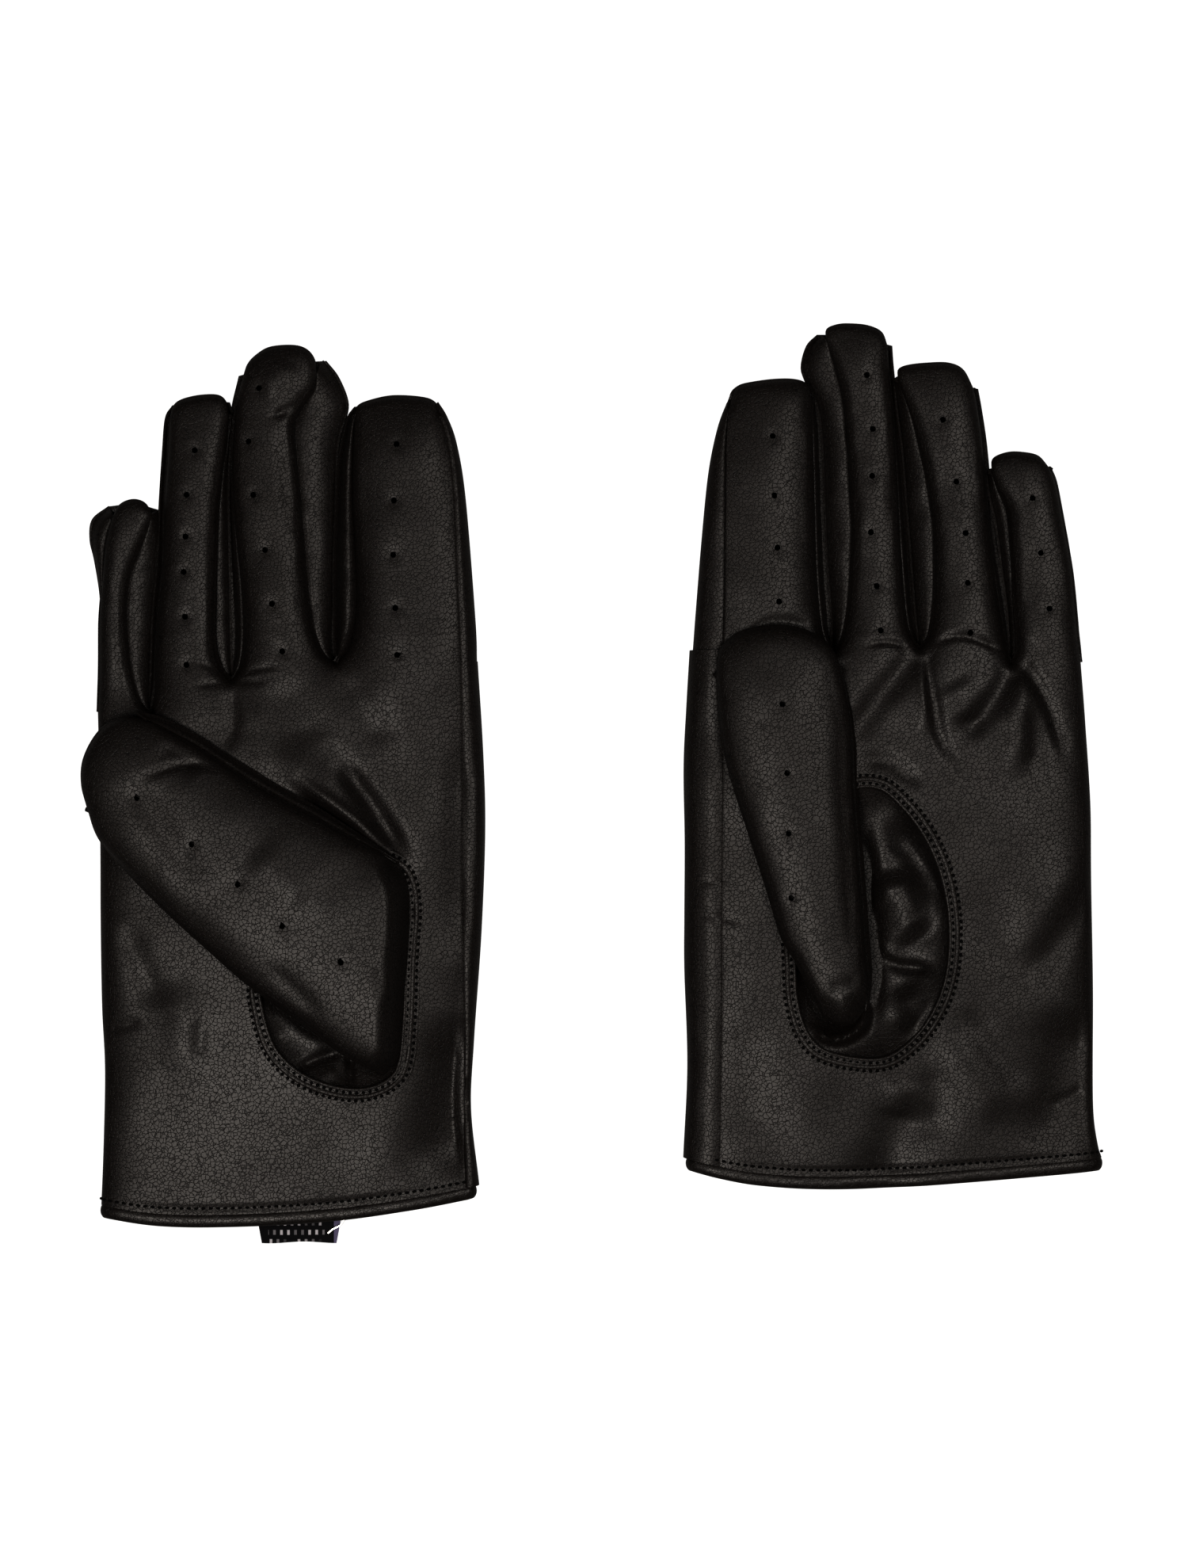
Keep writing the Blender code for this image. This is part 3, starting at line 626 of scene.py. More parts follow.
def within(spots, line):
    """Which spots lie inside a closed line."""
    x, y = spots[..., 0], spots[..., 1]
    hit = np.zeros(x.shape, bool)
    for (x0, y0), (x1, y1) in zip(line, np.roll(line, -1, axis=0)):
        cross = (y0 > y) != (y1 > y)
        with np.errstate(divide="ignore", invalid="ignore"):
            hit ^= cross & (x < (x1 - x0) * (y - y0) / (y1 - y0) + x0)
    return hit


def stuffed(line, pitch=0.8):
    """How a skin sewn along a closed line stands up when it is lightly stuffed.

    It is the height of a stretched sheet blown up from below, solved on a square grid.
    """
    low, high = line.min(axis=0) - 3, line.max(axis=0) + 3
    xs, ys = np.arange(low[0], high[0], pitch), np.arange(low[1], high[1], pitch)
    spots = np.stack(np.meshgrid(xs, ys), axis=-1)
    inside = within(spots, line)
    gap, _ = reach(spots, line, True)
    field = np.where(inside, SPREAD**2 * (1 - np.exp(-gap / SPREAD)), 0)
    pull = (pitch / SPREAD) ** 2
    for _ in range(SETTLING):
        around = field[2:, 1:-1] + field[:-2, 1:-1] + field[1:-1, 2:] + field[1:-1, :-2]
        field[1:-1, 1:-1] = np.where(inside[1:-1, 1:-1], (around + pitch**2) / (4 + pull), 0)
    known = inside & (gap > SEAM_BAND)
    slope = np.where(known, field / np.maximum(gap, 1e-3), 0)
    for _ in range(8):
        total, count = np.zeros_like(slope), np.zeros_like(slope)
        for axis, step in ((0, 1), (0, -1), (1, 1), (1, -1)):
            total += np.roll(np.where(known, slope, 0), step, axis)
            count += np.roll(known, step, axis)
        fresh = ~known & (count > 0)
        slope[fresh] = total[fresh] / count[fresh]
        known |= fresh
    return {"low": low, "pitch": pitch, "field": field, "slope": slope}


def read_grid(values, low, pitch, spots):
    """Values of a grid at the spots, smoothly between its points."""
    place = (spots - low) / pitch
    column = np.clip(place[..., 0], 0, values.shape[1] - 1.001)
    row = np.clip(place[..., 1], 0, values.shape[0] - 1.001)
    c, r = column.astype(int), row.astype(int)
    u, v = column - c, row - r
    near = values[r, c] * (1 - u) + values[r, c + 1] * u
    far = values[r + 1, c] * (1 - u) + values[r + 1, c + 1] * u
    return near * (1 - v) + far * v


def swell(shape, spots, gap):
    """The height of a stuffed skin at the spots, whose distances to its edge are given."""
    inner = read_grid(shape["field"], shape["low"], shape["pitch"], spots)
    near = read_grid(shape["slope"], shape["low"], shape["pitch"], spots) * gap
    share = smooth_step((gap - 1.2) / 2.0)
    return np.sqrt(np.maximum(inner * share + near * (1 - share), 0)) / SPREAD


def crown_line(glove):
    """The outer edge of a glove's upper side, round all its fingers."""
    first, last = ("outside", "edge") if glove is RIGHT else ("edge", "outside")
    line = [trace(glove[first], 2.0)]
    for name in glove["order"]:
        finger = glove["fingers"][name]
        left, right = finger["left"], finger["right"]
        if name == "index":
            left, right = (left, finger["high"]) if glove is RIGHT else (finger["low"], right)
        line += [trace(left, 2.0), trace(finger["tip"], 2.0), trace(right, 2.0)[::-1]]
    return np.vstack([*line, trace(glove[last], 2.0)[::-1]])


PAST_CUFF = 30.0  # a glove's hull runs on past its open cuff
HEM_SEAM = 1.7  # from the hem up to its row of stitches

for glove in GLOVES:
    glove["crown"] = crown_line(glove)
    ends = glove["crown"][[-1, 0]] - (0, PAST_CUFF)
    glove["hull"] = np.vstack([glove["crown"], ends])
    glove["stuffed"] = stuffed(glove["hull"])
    glove["folds"].append((0.5, -0.5, [(x, y + HEM_SEAM) for x, y in glove["hem"]]))


# how far the upper side stands up above its edge, by the distance along the hand
FULLNESS = ((-118, -98, -60, 0, 36, 70, 100, 124), (4.4, 5.6, 7.0, 7.3, 7.2, 7.0, 6.2, 5.6))


def crown(glove, spots):
    """The height of the glove's upper side at each plan spot."""
    gap, _ = reach(spots, glove["crown"])
    gap = np.where(within(spots, glove["hull"]), gap, 0)
    edge = np.interp(spots[..., 1], [14, 40], EDGE_LEVEL)
    level = edge + np.interp(spots[..., 1], *FULLNESS) * swell(glove["stuffed"], spots, gap)
    ease = np.clip(gap / 4.0, 0.12, 1)
    wave = rumple(spots, 5 if glove is RIGHT else 8, 13.0, 0.2)
    return level + (press(spots, glove["folds"]) + wave) * ease


def lift(glove, plan):
    """Plan spots with the height of the upper side added."""
    return np.concatenate([plan, crown(glove, plan)[..., None]], axis=-1)


def beside(grid, column, side):
    """The grid with one more column on its left or right."""
    return np.concatenate([column[:, None], grid] if side == "left" else [grid, column[:, None]], axis=1)


TURNED_EDGE = ((0.25, 0.18), (0.42, 0.6), (0.4, 1.3), (0.1, 2.1))  # out from the edge, and down


def turn_under(grid, *sides):
    """Rolls a panel's edges over and down, as a turned seam does."""
    for side in sides:
        row = {"left": grid[:, 0], "right": grid[:, -1], "tip": grid[-1]}[side]
        inner = {"left": grid[:, 1], "right": grid[:, -2], "tip": grid[-2]}[side]
        out = (row - inner)[:, :2]
        out /= np.maximum(np.linalg.norm(out, axis=1, keepdims=True), 1e-6)
        # a tip's roll runs out at its two corners, where the side rolls already go down
        count = len(row)
        ends = np.minimum(np.arange(count), np.arange(count)[::-1])
        share = np.clip((ends - 2) / 5, 0.06, 1) if side == "tip" else np.ones(count)
        for wide, down in TURNED_EDGE:
            extra = row.copy()
            extra[:, :2] += out * (wide * share)[:, None]
            extra[:, 2] -= down * share
            if side == "tip":
                grid = np.concatenate([grid, extra[None]], axis=0)
            else:
                grid = beside(grid, extra, side)
    return grid


def open_tree(tree, **inputs):
    """Gives a Geometry Nodes tree its inputs and its output, and returns the inputs' sockets."""
    for name, kind in inputs.items():
        tree.interface.new_socket(name, in_out="INPUT", socket_type="NodeSocket" + kind)
    tree.interface.new_socket("Made", in_out="OUTPUT", socket_type="NodeSocketGeometry")
    return add(tree, "NodeGroupInput").outputs


def finish_tree(tree, geometry, material):
    """Ends a Geometry Nodes tree with plain geometry in one material."""
    whole = add(tree, "GeometryNodeRealizeInstances", {}, {0: geometry})
    dyed = add(tree, "GeometryNodeSetMaterial", {}, {"Geometry": whole.outputs[0], "Material": material})
    add(tree, "NodeGroupOutput", {}, {0: dyed.outputs["Geometry"]})
    return tree


def punching_tree():
    """Punches round holes through a panel wherever a helper mesh has a point."""
    tree = bpy.data.node_groups.new("punch_holes", "GeometryNodeTree")
    given = open_tree(tree, Panel="Geometry", Centres="Object", Radius="Float", Leather="Material")
    nearby = {"transform_space": "RELATIVE"}
    centres = add(tree, "GeometryNodeObjectInfo", nearby, {"Object": given["Centres"]})
    near = add(tree, "GeometryNodeProximity", {"target_element": "POINTS"}, {0: centres.outputs["Geometry"]})
    less = {"data_type": "FLOAT", "operation": "LESS_THAN"}
    inside = add(tree, "FunctionNodeCompare", less, {0: near.outputs["Distance"], 1: given["Radius"]})
    cut = add(
        tree,
        "GeometryNodeDeleteGeometry",
        {"domain": "FACE", "mode": "ALL"},
        {"Geometry": given["Panel"], "Selection": inside.outputs["Result"]},
    )
    spot = add(tree, "GeometryNodeInputPosition").outputs["Position"]
    ends = {0: spot, 1: near.outputs["Position"]}
    away = add(tree, "ShaderNodeVectorMath", {"operation": "SUBTRACT"}, ends)
    unit = add(tree, "ShaderNodeVectorMath", {"operation": "NORMALIZE"}, {0: away.outputs["Vector"]})
    scale = {"operation": "SCALE"}
    arm = add(tree, "ShaderNodeVectorMath", scale, {0: unit.outputs["Vector"], "Scale": given["Radius"]})
    ends = {0: near.outputs["Position"], 1: arm.outputs["Vector"]}
    rim = add(tree, "ShaderNodeVectorMath", {"operation": "ADD"}, ends)
    close = add(tree, "ShaderNodeMath", {"operation": "MULTIPLY", 1: 1.55}, {0: given["Radius"]})
    lengths = {0: near.outputs["Distance"], 1: close.outputs["Value"]}
    by_hole = add(tree, "FunctionNodeCompare", less, lengths)
    edge = add(tree, "GeometryNodeInputMeshEdgeNeighbors")
    one_face = {"data_type": "INT", "operation": "EQUAL", 3: 1}
    open_edge = add(tree, "FunctionNodeCompare", one_face, {2: edge.outputs["Face Count"]})
    on_edges = {"data_type": "BOOLEAN", "domain": "EDGE"}
    spread = add(tree, "GeometryNodeFieldOnDomain", on_edges, {0: open_edge.outputs["Result"]})
    two = {0: by_hole.outputs["Result"], 1: spread.outputs[0]}
    both = add(tree, "FunctionNodeBooleanMath", {"operation": "AND"}, two)
    chosen = {"Selection": both.outputs[0], "Position": rim.outputs["Vector"]}
    chosen["Geometry"] = cut.outputs["Geometry"]
    moved = add(tree, "GeometryNodeSetPosition", {}, chosen)
    return finish_tree(tree, moved.outputs["Geometry"], given["Leather"])


PUNCH = punching_tree()
HOLE_RADIUS = 0.85
HOLE_SINK = 0.4  # a hole's middle lies below the undimpled surface


def plain(obj, name):
    """The object with its modifiers worked in, as a plain mesh under a new name."""
    bpy.context.view_layer.update()
    mesh = bpy.data.meshes.new_from_object(obj.evaluated_get(bpy.context.evaluated_depsgraph_get()))
    mesh.name = name
    made = bpy.data.objects.new(name, mesh)
    bpy.context.scene.collection.objects.link(made)
    bpy.data.objects.remove(obj)
    return made


def set_inputs(modifier, tree, **values):
    """Sets a Geometry Nodes modifier's inputs through their sockets' identifiers."""
    for item in tree.interface.items_tree:
        if item.item_type == "SOCKET" and item.in_out == "INPUT" and item.name.replace(" ", "_") in values:
            modifier[item.identifier] = values[item.name.replace(" ", "_")]


def sheet_mesh(name, points, faces):
    """A mesh object from points in millimetres."""
    mesh = bpy.data.meshes.new(name)
    mesh.from_pydata((np.array(points, float) * MM).tolist(), [], faces)
    obj = bpy.data.objects.new(name, mesh)
    bpy.context.scene.collection.objects.link(obj)
    return obj


def set_faces(obj, up=None):
    """Turns a closed mesh's faces outwards, or the good side of an open sheet up or down."""
    work = bmesh.new()
    work.from_mesh(obj.data)
    bmesh.ops.recalc_face_normals(work, faces=work.faces)
    top = sum(f.normal.z * f.calc_area() for f in work.faces)
    if up is not None and (top > 0) != up:
        bmesh.ops.reverse_faces(work, faces=work.faces)
    work.to_mesh(obj.data)
    work.free()


def thicken(obj, name, skin, thick, offset=-1.0, rounds=0, creased=True):
    """A sheet worked up into a smooth piece: its material, its thickness, and rounds of softening."""
    obj.data.materials.append(skin)
    wall = obj.modifiers.new("wall", "SOLIDIFY")
    wall.thickness, wall.offset = thick * MM, offset
    if rounds:
        smooth = obj.modifiers.new("smooth", "SUBSURF")
        smooth.levels = smooth.render_levels = rounds
    piece = plain(obj, name)
    piece.data.shade_smooth()
    if creased:
        piece.data.set_sharp_from_angle(angle=math.radians(50))
    return piece


def fasten(piece, body, *nodes, slot="leather"):
    """Fixes a piece to a body, in the place of the CAD nodes that it shows better."""
    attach(piece, body)
    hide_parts(*nodes)


def ring_faces(rings, columns, closed=False):
    """The faces between rings of points. closed joins the last ring to the first."""
    faces = []
    for r in range(rings if closed else rings - 1):
        here, after = r * columns, (r + 1) % rings * columns
        for c in range(columns):
            beyond = (c + 1) % columns
            faces.append((here + c, here + beyond, after + beyond, after + c))
    return faces


def sew(name, grid, skin=LEATHER, thick=PALM_THICK, window=None, up=True, centres=None):
    """A leather panel from a grid of points: punched, given its thickness, and smoothed.

    window is a closed plan line inside which the panel is cut away, and up tells whether the
    good side faces up. centres are the punched holes' middles on the surface.
    """
    rows, columns = grid.shape[:2]
    index = np.arange(rows * columns).reshape(rows, columns)
    corners = [index[:-1, :-1], index[:-1, 1:], index[1:, 1:], index[1:, :-1]]
    quads = np.stack(corners, axis=-1).reshape(-1, 4)
    points = grid.reshape(-1, 3).copy()
    if window is not None:
        quads = quads[~within(points[quads].mean(axis=1)[:, :2], window)]
        used = np.zeros(len(points), bool)
        used[quads.ravel()] = True
        # the points on the cut slide onto the window's line
        count = np.bincount(quads.ravel(), minlength=len(points))
        loose = used & (count < 4) & (reach(points[:, :2], window, True)[0] < 1.2)
        points[loose, :2] = nearest(points[loose, :2], window)
        renumber = np.cumsum(used) - 1
        points, quads = points[used], renumber[quads]
    obj = sheet_mesh(name + "_cut", points, quads.tolist())
    set_faces(obj, up)
    if centres is None:
        return thicken(obj, name, skin, thick)
    helper = sheet_mesh(name + "_centres", centres, [])
    punch = obj.modifiers.new("punch", "NODES")
    punch.node_group = PUNCH
    set_inputs(punch, PUNCH, Centres=helper, Radius=HOLE_RADIUS * MM, Leather=skin)
    made = thicken(obj, name, skin, thick)
    bpy.data.objects.remove(helper)
    return made


def nearest(spots, line):
    """The nearest point on a closed line to each spot."""
    best = np.full(len(spots), 1e9)
    found = spots.copy()
    for a, b in zip(line, np.roll(line, -1, axis=0)):
        ab = b - a
        t = np.clip(((spots - a) @ ab) / max(ab @ ab, 1e-9), 0, 1)
        foot = a + t[:, None] * ab
        gap = np.linalg.norm(spots - foot, axis=1)
        near = gap < best
        best[near], found[near] = gap[near], foot[near]
    return found


def closed_trace(points, step):
    """A smooth closed curve through the points."""
    p = [*points[-2:], *points, *points[:2]]
    fine = trace(p, 0.2)
    start = np.argmin(np.linalg.norm(fine - np.array(points[0]), axis=1)[: len(fine) // 2])
    rest = np.linalg.norm(fine[start + 40 :] - np.array(points[0]), axis=1)
    loop = fine[start : start + 40 + int(np.argmin(rest))]
    return loop[:: max(1, int(round(step / 0.2)))]


def widen(line, by):
    """A closed line moved outwards."""
    ahead, behind = np.roll(line, -1, axis=0), np.roll(line, 1, axis=0)
    run = ahead - behind
    side = np.stack([run[:, 1], -run[:, 0]], axis=1)
    side /= np.linalg.norm(side, axis=1, keepdims=True)
    area = np.sum(line[:, 0] * ahead[:, 1] - ahead[:, 0] * line[:, 1])
    return line + side * by * (1 if area > 0 else -1)


# ---------------------------------------------------------------------------------------------
# Palm panels: one skin of leather from the hem to the crotches, cut away in an oval for the
# thumb. It wraps round the little-finger side, so it has no seam there, and it was stretched
# and creased where the crotches pull on it.
# ---------------------------------------------------------------------------------------------

STEP = 0.62  # spacing of the points in a finger's panel


def finger_edges(glove, name):
    """A finger front's base line, tip and sides as traced curves with matching counts."""
    finger = glove["fingers"][name]
    width = np.linalg.norm(np.subtract(finger["right"][0], finger["left"][0]))
    across = max(12, int(round(width / STEP))) + 1
    base = trace([finger["left"][0], finger["right"][0]], count=across)
    tip = trace(finger["tip"], count=across)
    along = int(round(np.ptp([p[1] for p in finger["left"]]) / STEP)) + 1
    return base, tip, trace(finger["left"], count=along), trace(finger["right"], count=along)


def wrap_side(grid, side, under, every=1):
    """The grid carried on from one side's widest points, round and under the glove."""
    column, inner = (grid[:, 0], grid[:, 1]) if side == "left" else (grid[:, -1], grid[:, -2])
    out = (column - inner)[:, :2]
    out /= np.linalg.norm(out, axis=1, keepdims=True)
    for turn in np.linspace(0, math.pi / 2, 9)[1::every]:
        new = column.copy()
        new[:, :2] += out * (0.5 * math.sin(2 * turn) - under * (1 - math.cos(turn)))
        new[:, 2] = column[:, 2] * (1 - math.sin(turn)) + TABLE_GAP * math.sin(turn)
        grid = beside(grid, new, side)
    return grid


HAND_WRAP = 5.0  # how far a palm or back runs on under the hand
PALM_ROWS = 208

for glove in GLOVES:
    side_name = glove["name"]
    bases = [finger_edges(glove, name)[0] for name in glove["order"]]
    top = np.vstack([bases[0], *[base[1:] for base in bases[1:]]])
    outlines = ("outside", "seam") if glove is RIGHT else ("seam", "outside")
    left, right = (trace(glove[outline], count=PALM_ROWS) for outline in outlines)
    run, fine, share = run_of(top), trace(glove["hem"], count=800), np.linspace(0, 1, 800)
    bottom = np.stack([np.interp(run / run[-1], share, fine[:, k]) for k in (0, 1)], axis=1)
    bottom[0], bottom[-1] = left[0], right[0]
    grid = lift(glove, patch(bottom, top, left, right))
    round_side, sewn_side = ("left", "right") if glove is RIGHT else ("right", "left")
    grid = turn_under(wrap_side(grid, round_side, HAND_WRAP), sewn_side)
    window = widen(closed_trace(glove["oval"], 0.6), -2.6)
    piece = sew(f"{side_name}_palm_leather", grid, window=window)
    crotches = [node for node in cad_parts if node.startswith(f"{side_name}_crotch")]
    fasten(piece, f"{side_name}_palm", f"{side_name}_palm_panel", *crotches)

# ---------------------------------------------------------------------------------------------
# Finger fronts: narrow skins that run on from the palm and are punched with a line of round
# holes for air. Their edges are turned in where they are sewn to the side strips.
# ---------------------------------------------------------------------------------------------


def bend_with(piece):
    """Works a finger's piece's object transform into its mesh."""
    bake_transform(piece)


def dimple(grid, holes, deep=0.28, wide=1.8):
    """Presses the leather in a little round each punched hole."""
    for x, y in holes:
        gap = np.hypot(grid[..., 0] - x, grid[..., 1] - y)
        grid[..., 2] -= deep * np.exp(-((gap / wide) ** 2))
    return grid


for glove in GLOVES:
    for name in FINGERS:
        finger = glove["fingers"][name]
        base, tip, left, right = finger_edges(glove, name)
        grid = dimple(lift(glove, patch(base, tip, left, right)), finger["holes"])
        grid = turn_under(grid, "left", "right", "tip")
        centres = None
        if finger["holes"]:
            centres = lift(glove, np.array(finger["holes"], float)) - (0, 0, HOLE_SINK)
        piece = sew(f"{glove['name']}_{name}_front_leather", grid, centres=centres)
        bend_with(piece)
        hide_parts(f"{glove['name']}_{name}_front")

# ---------------------------------------------------------------------------------------------
# Fourchettes, the narrow strips that make a finger's sides, and the outer side of each index
# finger, where the back's leather comes round. They lie folded half flat beside the fronts, so
# they show as long leaves in the gaps between the fingers.
# ---------------------------------------------------------------------------------------------


# heights across a strip from the front's seam outwards, at the crotch and at the fingertip
SIDE_LEVELS = {
    "narrow": ((3.8, 5.2, 5.2, 4.2, 2.6, 1.2), (3.8, 4.6, 4.4, 3.6, 2.2, 1.2)),
    "deep": ((3.0, 3.4, 3.2, 3.0, 2.6, 1.2), (3.2, 3.8, 3.8, 3.4, 2.4, 1.2)),
    "leaf": ((4.4, 5.2, 5.0, 4.4, 3.6, 2.0), (4.8, 5.6, 5.2, 4.6, 3.6, 1.8)),
    "roll": ((4.8, 7.6, 8.6, 8.2, 6.0, 2.0), (4.8, 6.6, 6.8, 6.2, 4.4, 1.6)),
}


def strip(inner, outer, levels, count, seed):
    """A strip of leather between two plan curves. levels are its heights from inner to outer."""
    length = max(len(inner), len(outer))
    plan = between(trace(inner, count=length), trace(outer, count=length), count)
    share, place = np.linspace(0, 1, count), np.linspace(0, 1, len(levels[0]))
    ahead = np.linspace(0, 1, length)[:, None]
    near, far = (np.interp(share, place, level)[None] for level in levels)
    high = near * (1 - ahead) + far * ahead + rumple(plan, seed, 5.0, 0.12)
    return np.concatenate([plan, high[..., None]], axis=-1)


SEAM_DIP = (1.3, 0.8, 0.5, 0.3, 0.15, 0.05)  # how the back's leather dives to the seam


def index_side(glove, seam, edge, under):
    """The back's leather where it comes round the index side to the seam."""
    grid = lift(glove, between(seam, edge, 14))
    grid[:, 0, :2] += (grid[:, 0] - grid[:, 1])[:, :2]
    grid[:, : len(SEAM_DIP), 2] -= SEAM_DIP
    return wrap_side(grid, "right", under)


for glove in GLOVES:
    side_name, order = glove["name"], glove["order"]
    for place, name in enumerate(order):
        finger = glove["fingers"][name]
        for side, seam, outer, beyond in ((0, "left", "low", place - 1), (1, "right", "high", place + 1)):
            count = int(round(np.ptp([p[1] for p in finger[seam]]) / 0.8))
            a, b = trace(finger[seam], count=count), trace(finger[outer], count=count)
            outermost = beyond not in range(4)
            if outermost and name == "index":
                grid = index_side(glove, a, b, 4.0)
            else:
                tuck = a + (a - b) / np.maximum(np.linalg.norm(a - b, axis=1, keepdims=True), 1e-6) * 0.5
                grid = strip(tuck, b, SIDE_LEVELS[finger["sides"][side]], 13, place + 3)
                grid = wrap_side(grid, "right", 1.5, every=2)
            if outermost:
                label = "back_side"
            elif name in ("little", "index"):
                label = "fourchette"
            else:
                label = f"fourchette_{order[beyond]}_side"
            piece = sew(f"{side_name}_{name}_{label}_leather", grid, thick=SIDE_THICK)
            bend_with(piece)
            if not outermost:
                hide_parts(f"{side_name}_{name}_{label}")

# ---------------------------------------------------------------------------------------------
# Back panels: one skin over the back of the hand and the fingers' backs. The gloves lie on
# them, so they are pressed flat, and the hand's back comes round the index side to the seam.
# ---------------------------------------------------------------------------------------------


def tray(plan, line, rise, radius, lowest=TABLE_GAP):
    """Heights of leather that lies flat on the table and curls up near its edges."""
    gap, _ = reach(plan, line)
    high = lowest + rise * (1 - round_off(gap, radius))
    return np.concatenate([plan, high[..., None]], axis=-1)


NEIGHBOUR_LAP = 0.9  # how far a finger's back reaches under its neighbour

for glove in GLOVES:
    side_name = glove["name"]
    for place, name in enumerate(glove["order"]):
        finger = glove["fingers"][name]
        rows = int(round(np.ptp([p[1] for p in finger["left"]])))
        low, high = trace(finger["low"], count=rows), trace(finger["high"], count=rows)
        low = low - (NEIGHBOUR_LAP if place > 0 else 0, 0)
        high = high + (NEIGHBOUR_LAP if place < 3 else 0, 0)
        end = np.array([low[-1], (low[-1] + high[-1]) / 2 + (0, 1.2), high[-1]])
        plan = patch(trace([low[0], high[0]], count=24), trace(end, count=24), low, high)
        rim = np.vstack([low, trace(end, count=12), high[::-1]])
        grid = tray(plan, rim, 2.2 if place % 2 else 0.7, 3.5)
        piece = sew(f"{side_name}_{name}_back_leather", grid, up=False, thick=SIDE_THICK)
        bend_with(piece)
        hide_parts(f"{side_name}_{name}_back")

    edge, outside, seam = (trace(glove[line], count=150) for line in ("edge", "outside", "seam"))
    grid = index_side(glove, seam, edge, HAND_WRAP)
    bottom = between(grid[:, -1, :2], outside + (edge - outside) * 0.045, 70)[:, 1:]
    flat = np.concatenate([bottom, np.full((*bottom.shape[:2], 1), TABLE_GAP)], axis=-1)
    piece = sew(f"{side_name}_back_leather", np.concatenate([grid, flat], axis=1))
    fasten(piece, f"{side_name}_palm", f"{side_name}_back_panel")

# ---------------------------------------------------------------------------------------------
# Cuff binding: a strip of the same leather rolled over the raw edge of the wrist opening. It
# is a soft roll about four millimetres tall, a little glossier because it is stretched.
# ---------------------------------------------------------------------------------------------

BINDING_LEATHER = glove_leather("rolled_binding_leather", cells=0.9, depth=0.03, roughness=0.36)
BINDING_TALL = 3.9
BINDING_THICK = 2.3


CUFF_LOW = 1.3  # the height of the binding's middle below the hand


def cuff_line(glove):
    """The hem as a closed loop: over the palm, down one side, straight across below, and up."""
    hem = glove["hem"] if glove is RIGHT else glove["hem"][::-1]
    over = trace([*hem, glove["hem_end"]], 1.0)
    x = over[:, 0].copy()
    over[:, 0] += np.interp(x, [x.min(), x.mean(), x.max()], [1.1, 0, -1.1])
    over = np.concatenate([over, crown(glove, over)[:, None] - 0.9], axis=1)
    turn = np.linspace(0, math.pi, 12)[1:-1]
    bows = []
    for end, heights in ((over[-1], (over[-1, 2], CUFF_LOW)), (over[0], (CUFF_LOW, over[0, 2]))):
        side = np.sign(end[0] - over[len(over) // 2, 0])
        high = np.interp(turn, [0, math.pi], heights)
        bows.append(np.stack([end[0] + side * 0.2 * np.sin(turn), np.full(10, end[1]), high], axis=1))
    return np.vstack([over, *bows])


for glove in GLOVES:
    side_name = glove["name"]
    path = cuff_line(glove)
    around = np.linspace(0, 2 * math.pi, 20, endpoint=False)
    ahead = np.roll(path, -1, axis=0) - np.roll(path, 1, axis=0)
    ahead /= np.linalg.norm(ahead, axis=1, keepdims=True)
    tall = np.array([0.0, 1.0, 0.0])
    thick = np.cross(ahead, tall)
    thick /= np.linalg.norm(thick, axis=1, keepdims=True)
    count = np.arange(len(path))
    ripple = 1 + 0.05 * np.sin(count * 0.55) + 0.04 * np.sin(count * 1.7)
    ring = (
        path[:, None]
        + tall * (BINDING_TALL / 2 * np.sin(around)[None, :, None] - 1.55)
        + thick[:, None] * (BINDING_THICK / 2 * np.cos(around)[None, :, None]) * ripple[:, None, None]
    )
    faces = ring_faces(*ring.shape[:2], closed=True)
    piece = sheet_mesh(f"{side_name}_cuff_roll", ring.reshape(-1, 3), faces)
    set_faces(piece)
    piece.data.materials.append(BINDING_LEATHER)
    piece.data.shade_smooth()
    fasten(piece, f"{side_name}_palm", f"{side_name}_cuff_binding")

# ---------------------------------------------------------------------------------------------
# Lining: a thin black knit sleeve that hangs inside the hand and shows only at the wrist.
# ---------------------------------------------------------------------------------------------

dark = linear("#141415")
KNIT, tree, shader = finish_of("black_knit_lining", Base_Color=dark, Roughness=0.95, Sheen_Weight=0.2)
place = add(tree, "ShaderNodeTexCoord").outputs["Object"]
# a fine jersey: wales 0.8 mm apart
wales = add(tree, "ShaderNodeTexWave", {"Scale": 390.0, "Distortion": 1.5, "Detail": 2.0}, {"Vector": place})
bump = add(tree, "ShaderNodeBump", {"Strength": 0.7, "Distance": 0.2 * MM}, {"Height": wales.outputs["Fac"]})
tree.links.new(bump.outputs["Normal"], shader.inputs["Normal"])

for glove in GLOVES:
    side_name = glove["name"]
    edge, outside = (trace(glove[line], count=150)[:95] for line in ("edge", "outside"))
    oval = closed_trace(glove["oval"], 1.5)
    around = np.linspace(0, 2 * math.pi, 96, endpoint=False)
    across = np.sign(np.cos(around)) * np.abs(np.cos(around)) ** 0.45
    lifted = (np.sign(np.sin(around)) * np.abs(np.sin(around)) ** 0.6 + 1) / 2
    spots = (edge + outside)[:, None] / 2 + (edge - outside)[:, None] / 2 * 0.955 * across[:, None]
    gap, _ = reach(spots, oval, True)
    sunk = np.clip(np.where(within(spots, oval), 1.0, 1 - gap / 6), 0, 1)
    upper = np.maximum(crown(glove, spots) - 1.6 - 8.0 * sunk, 2.3)
    grid = np.concatenate([spots, (1.6 + (upper - 1.6) * lifted)[..., None]], axis=-1)
    obj = sheet_mesh(f"{side_name}_lining_cut", grid.reshape(-1, 3), ring_faces(*grid.shape[:2]))
    piece = thicken(obj, f"{side_name}_knit_lining", KNIT, 0.5, offset=0.0, creased=False)
    fasten(piece, f"{side_name}_palm", f"{side_name}_lining", slot="lining")

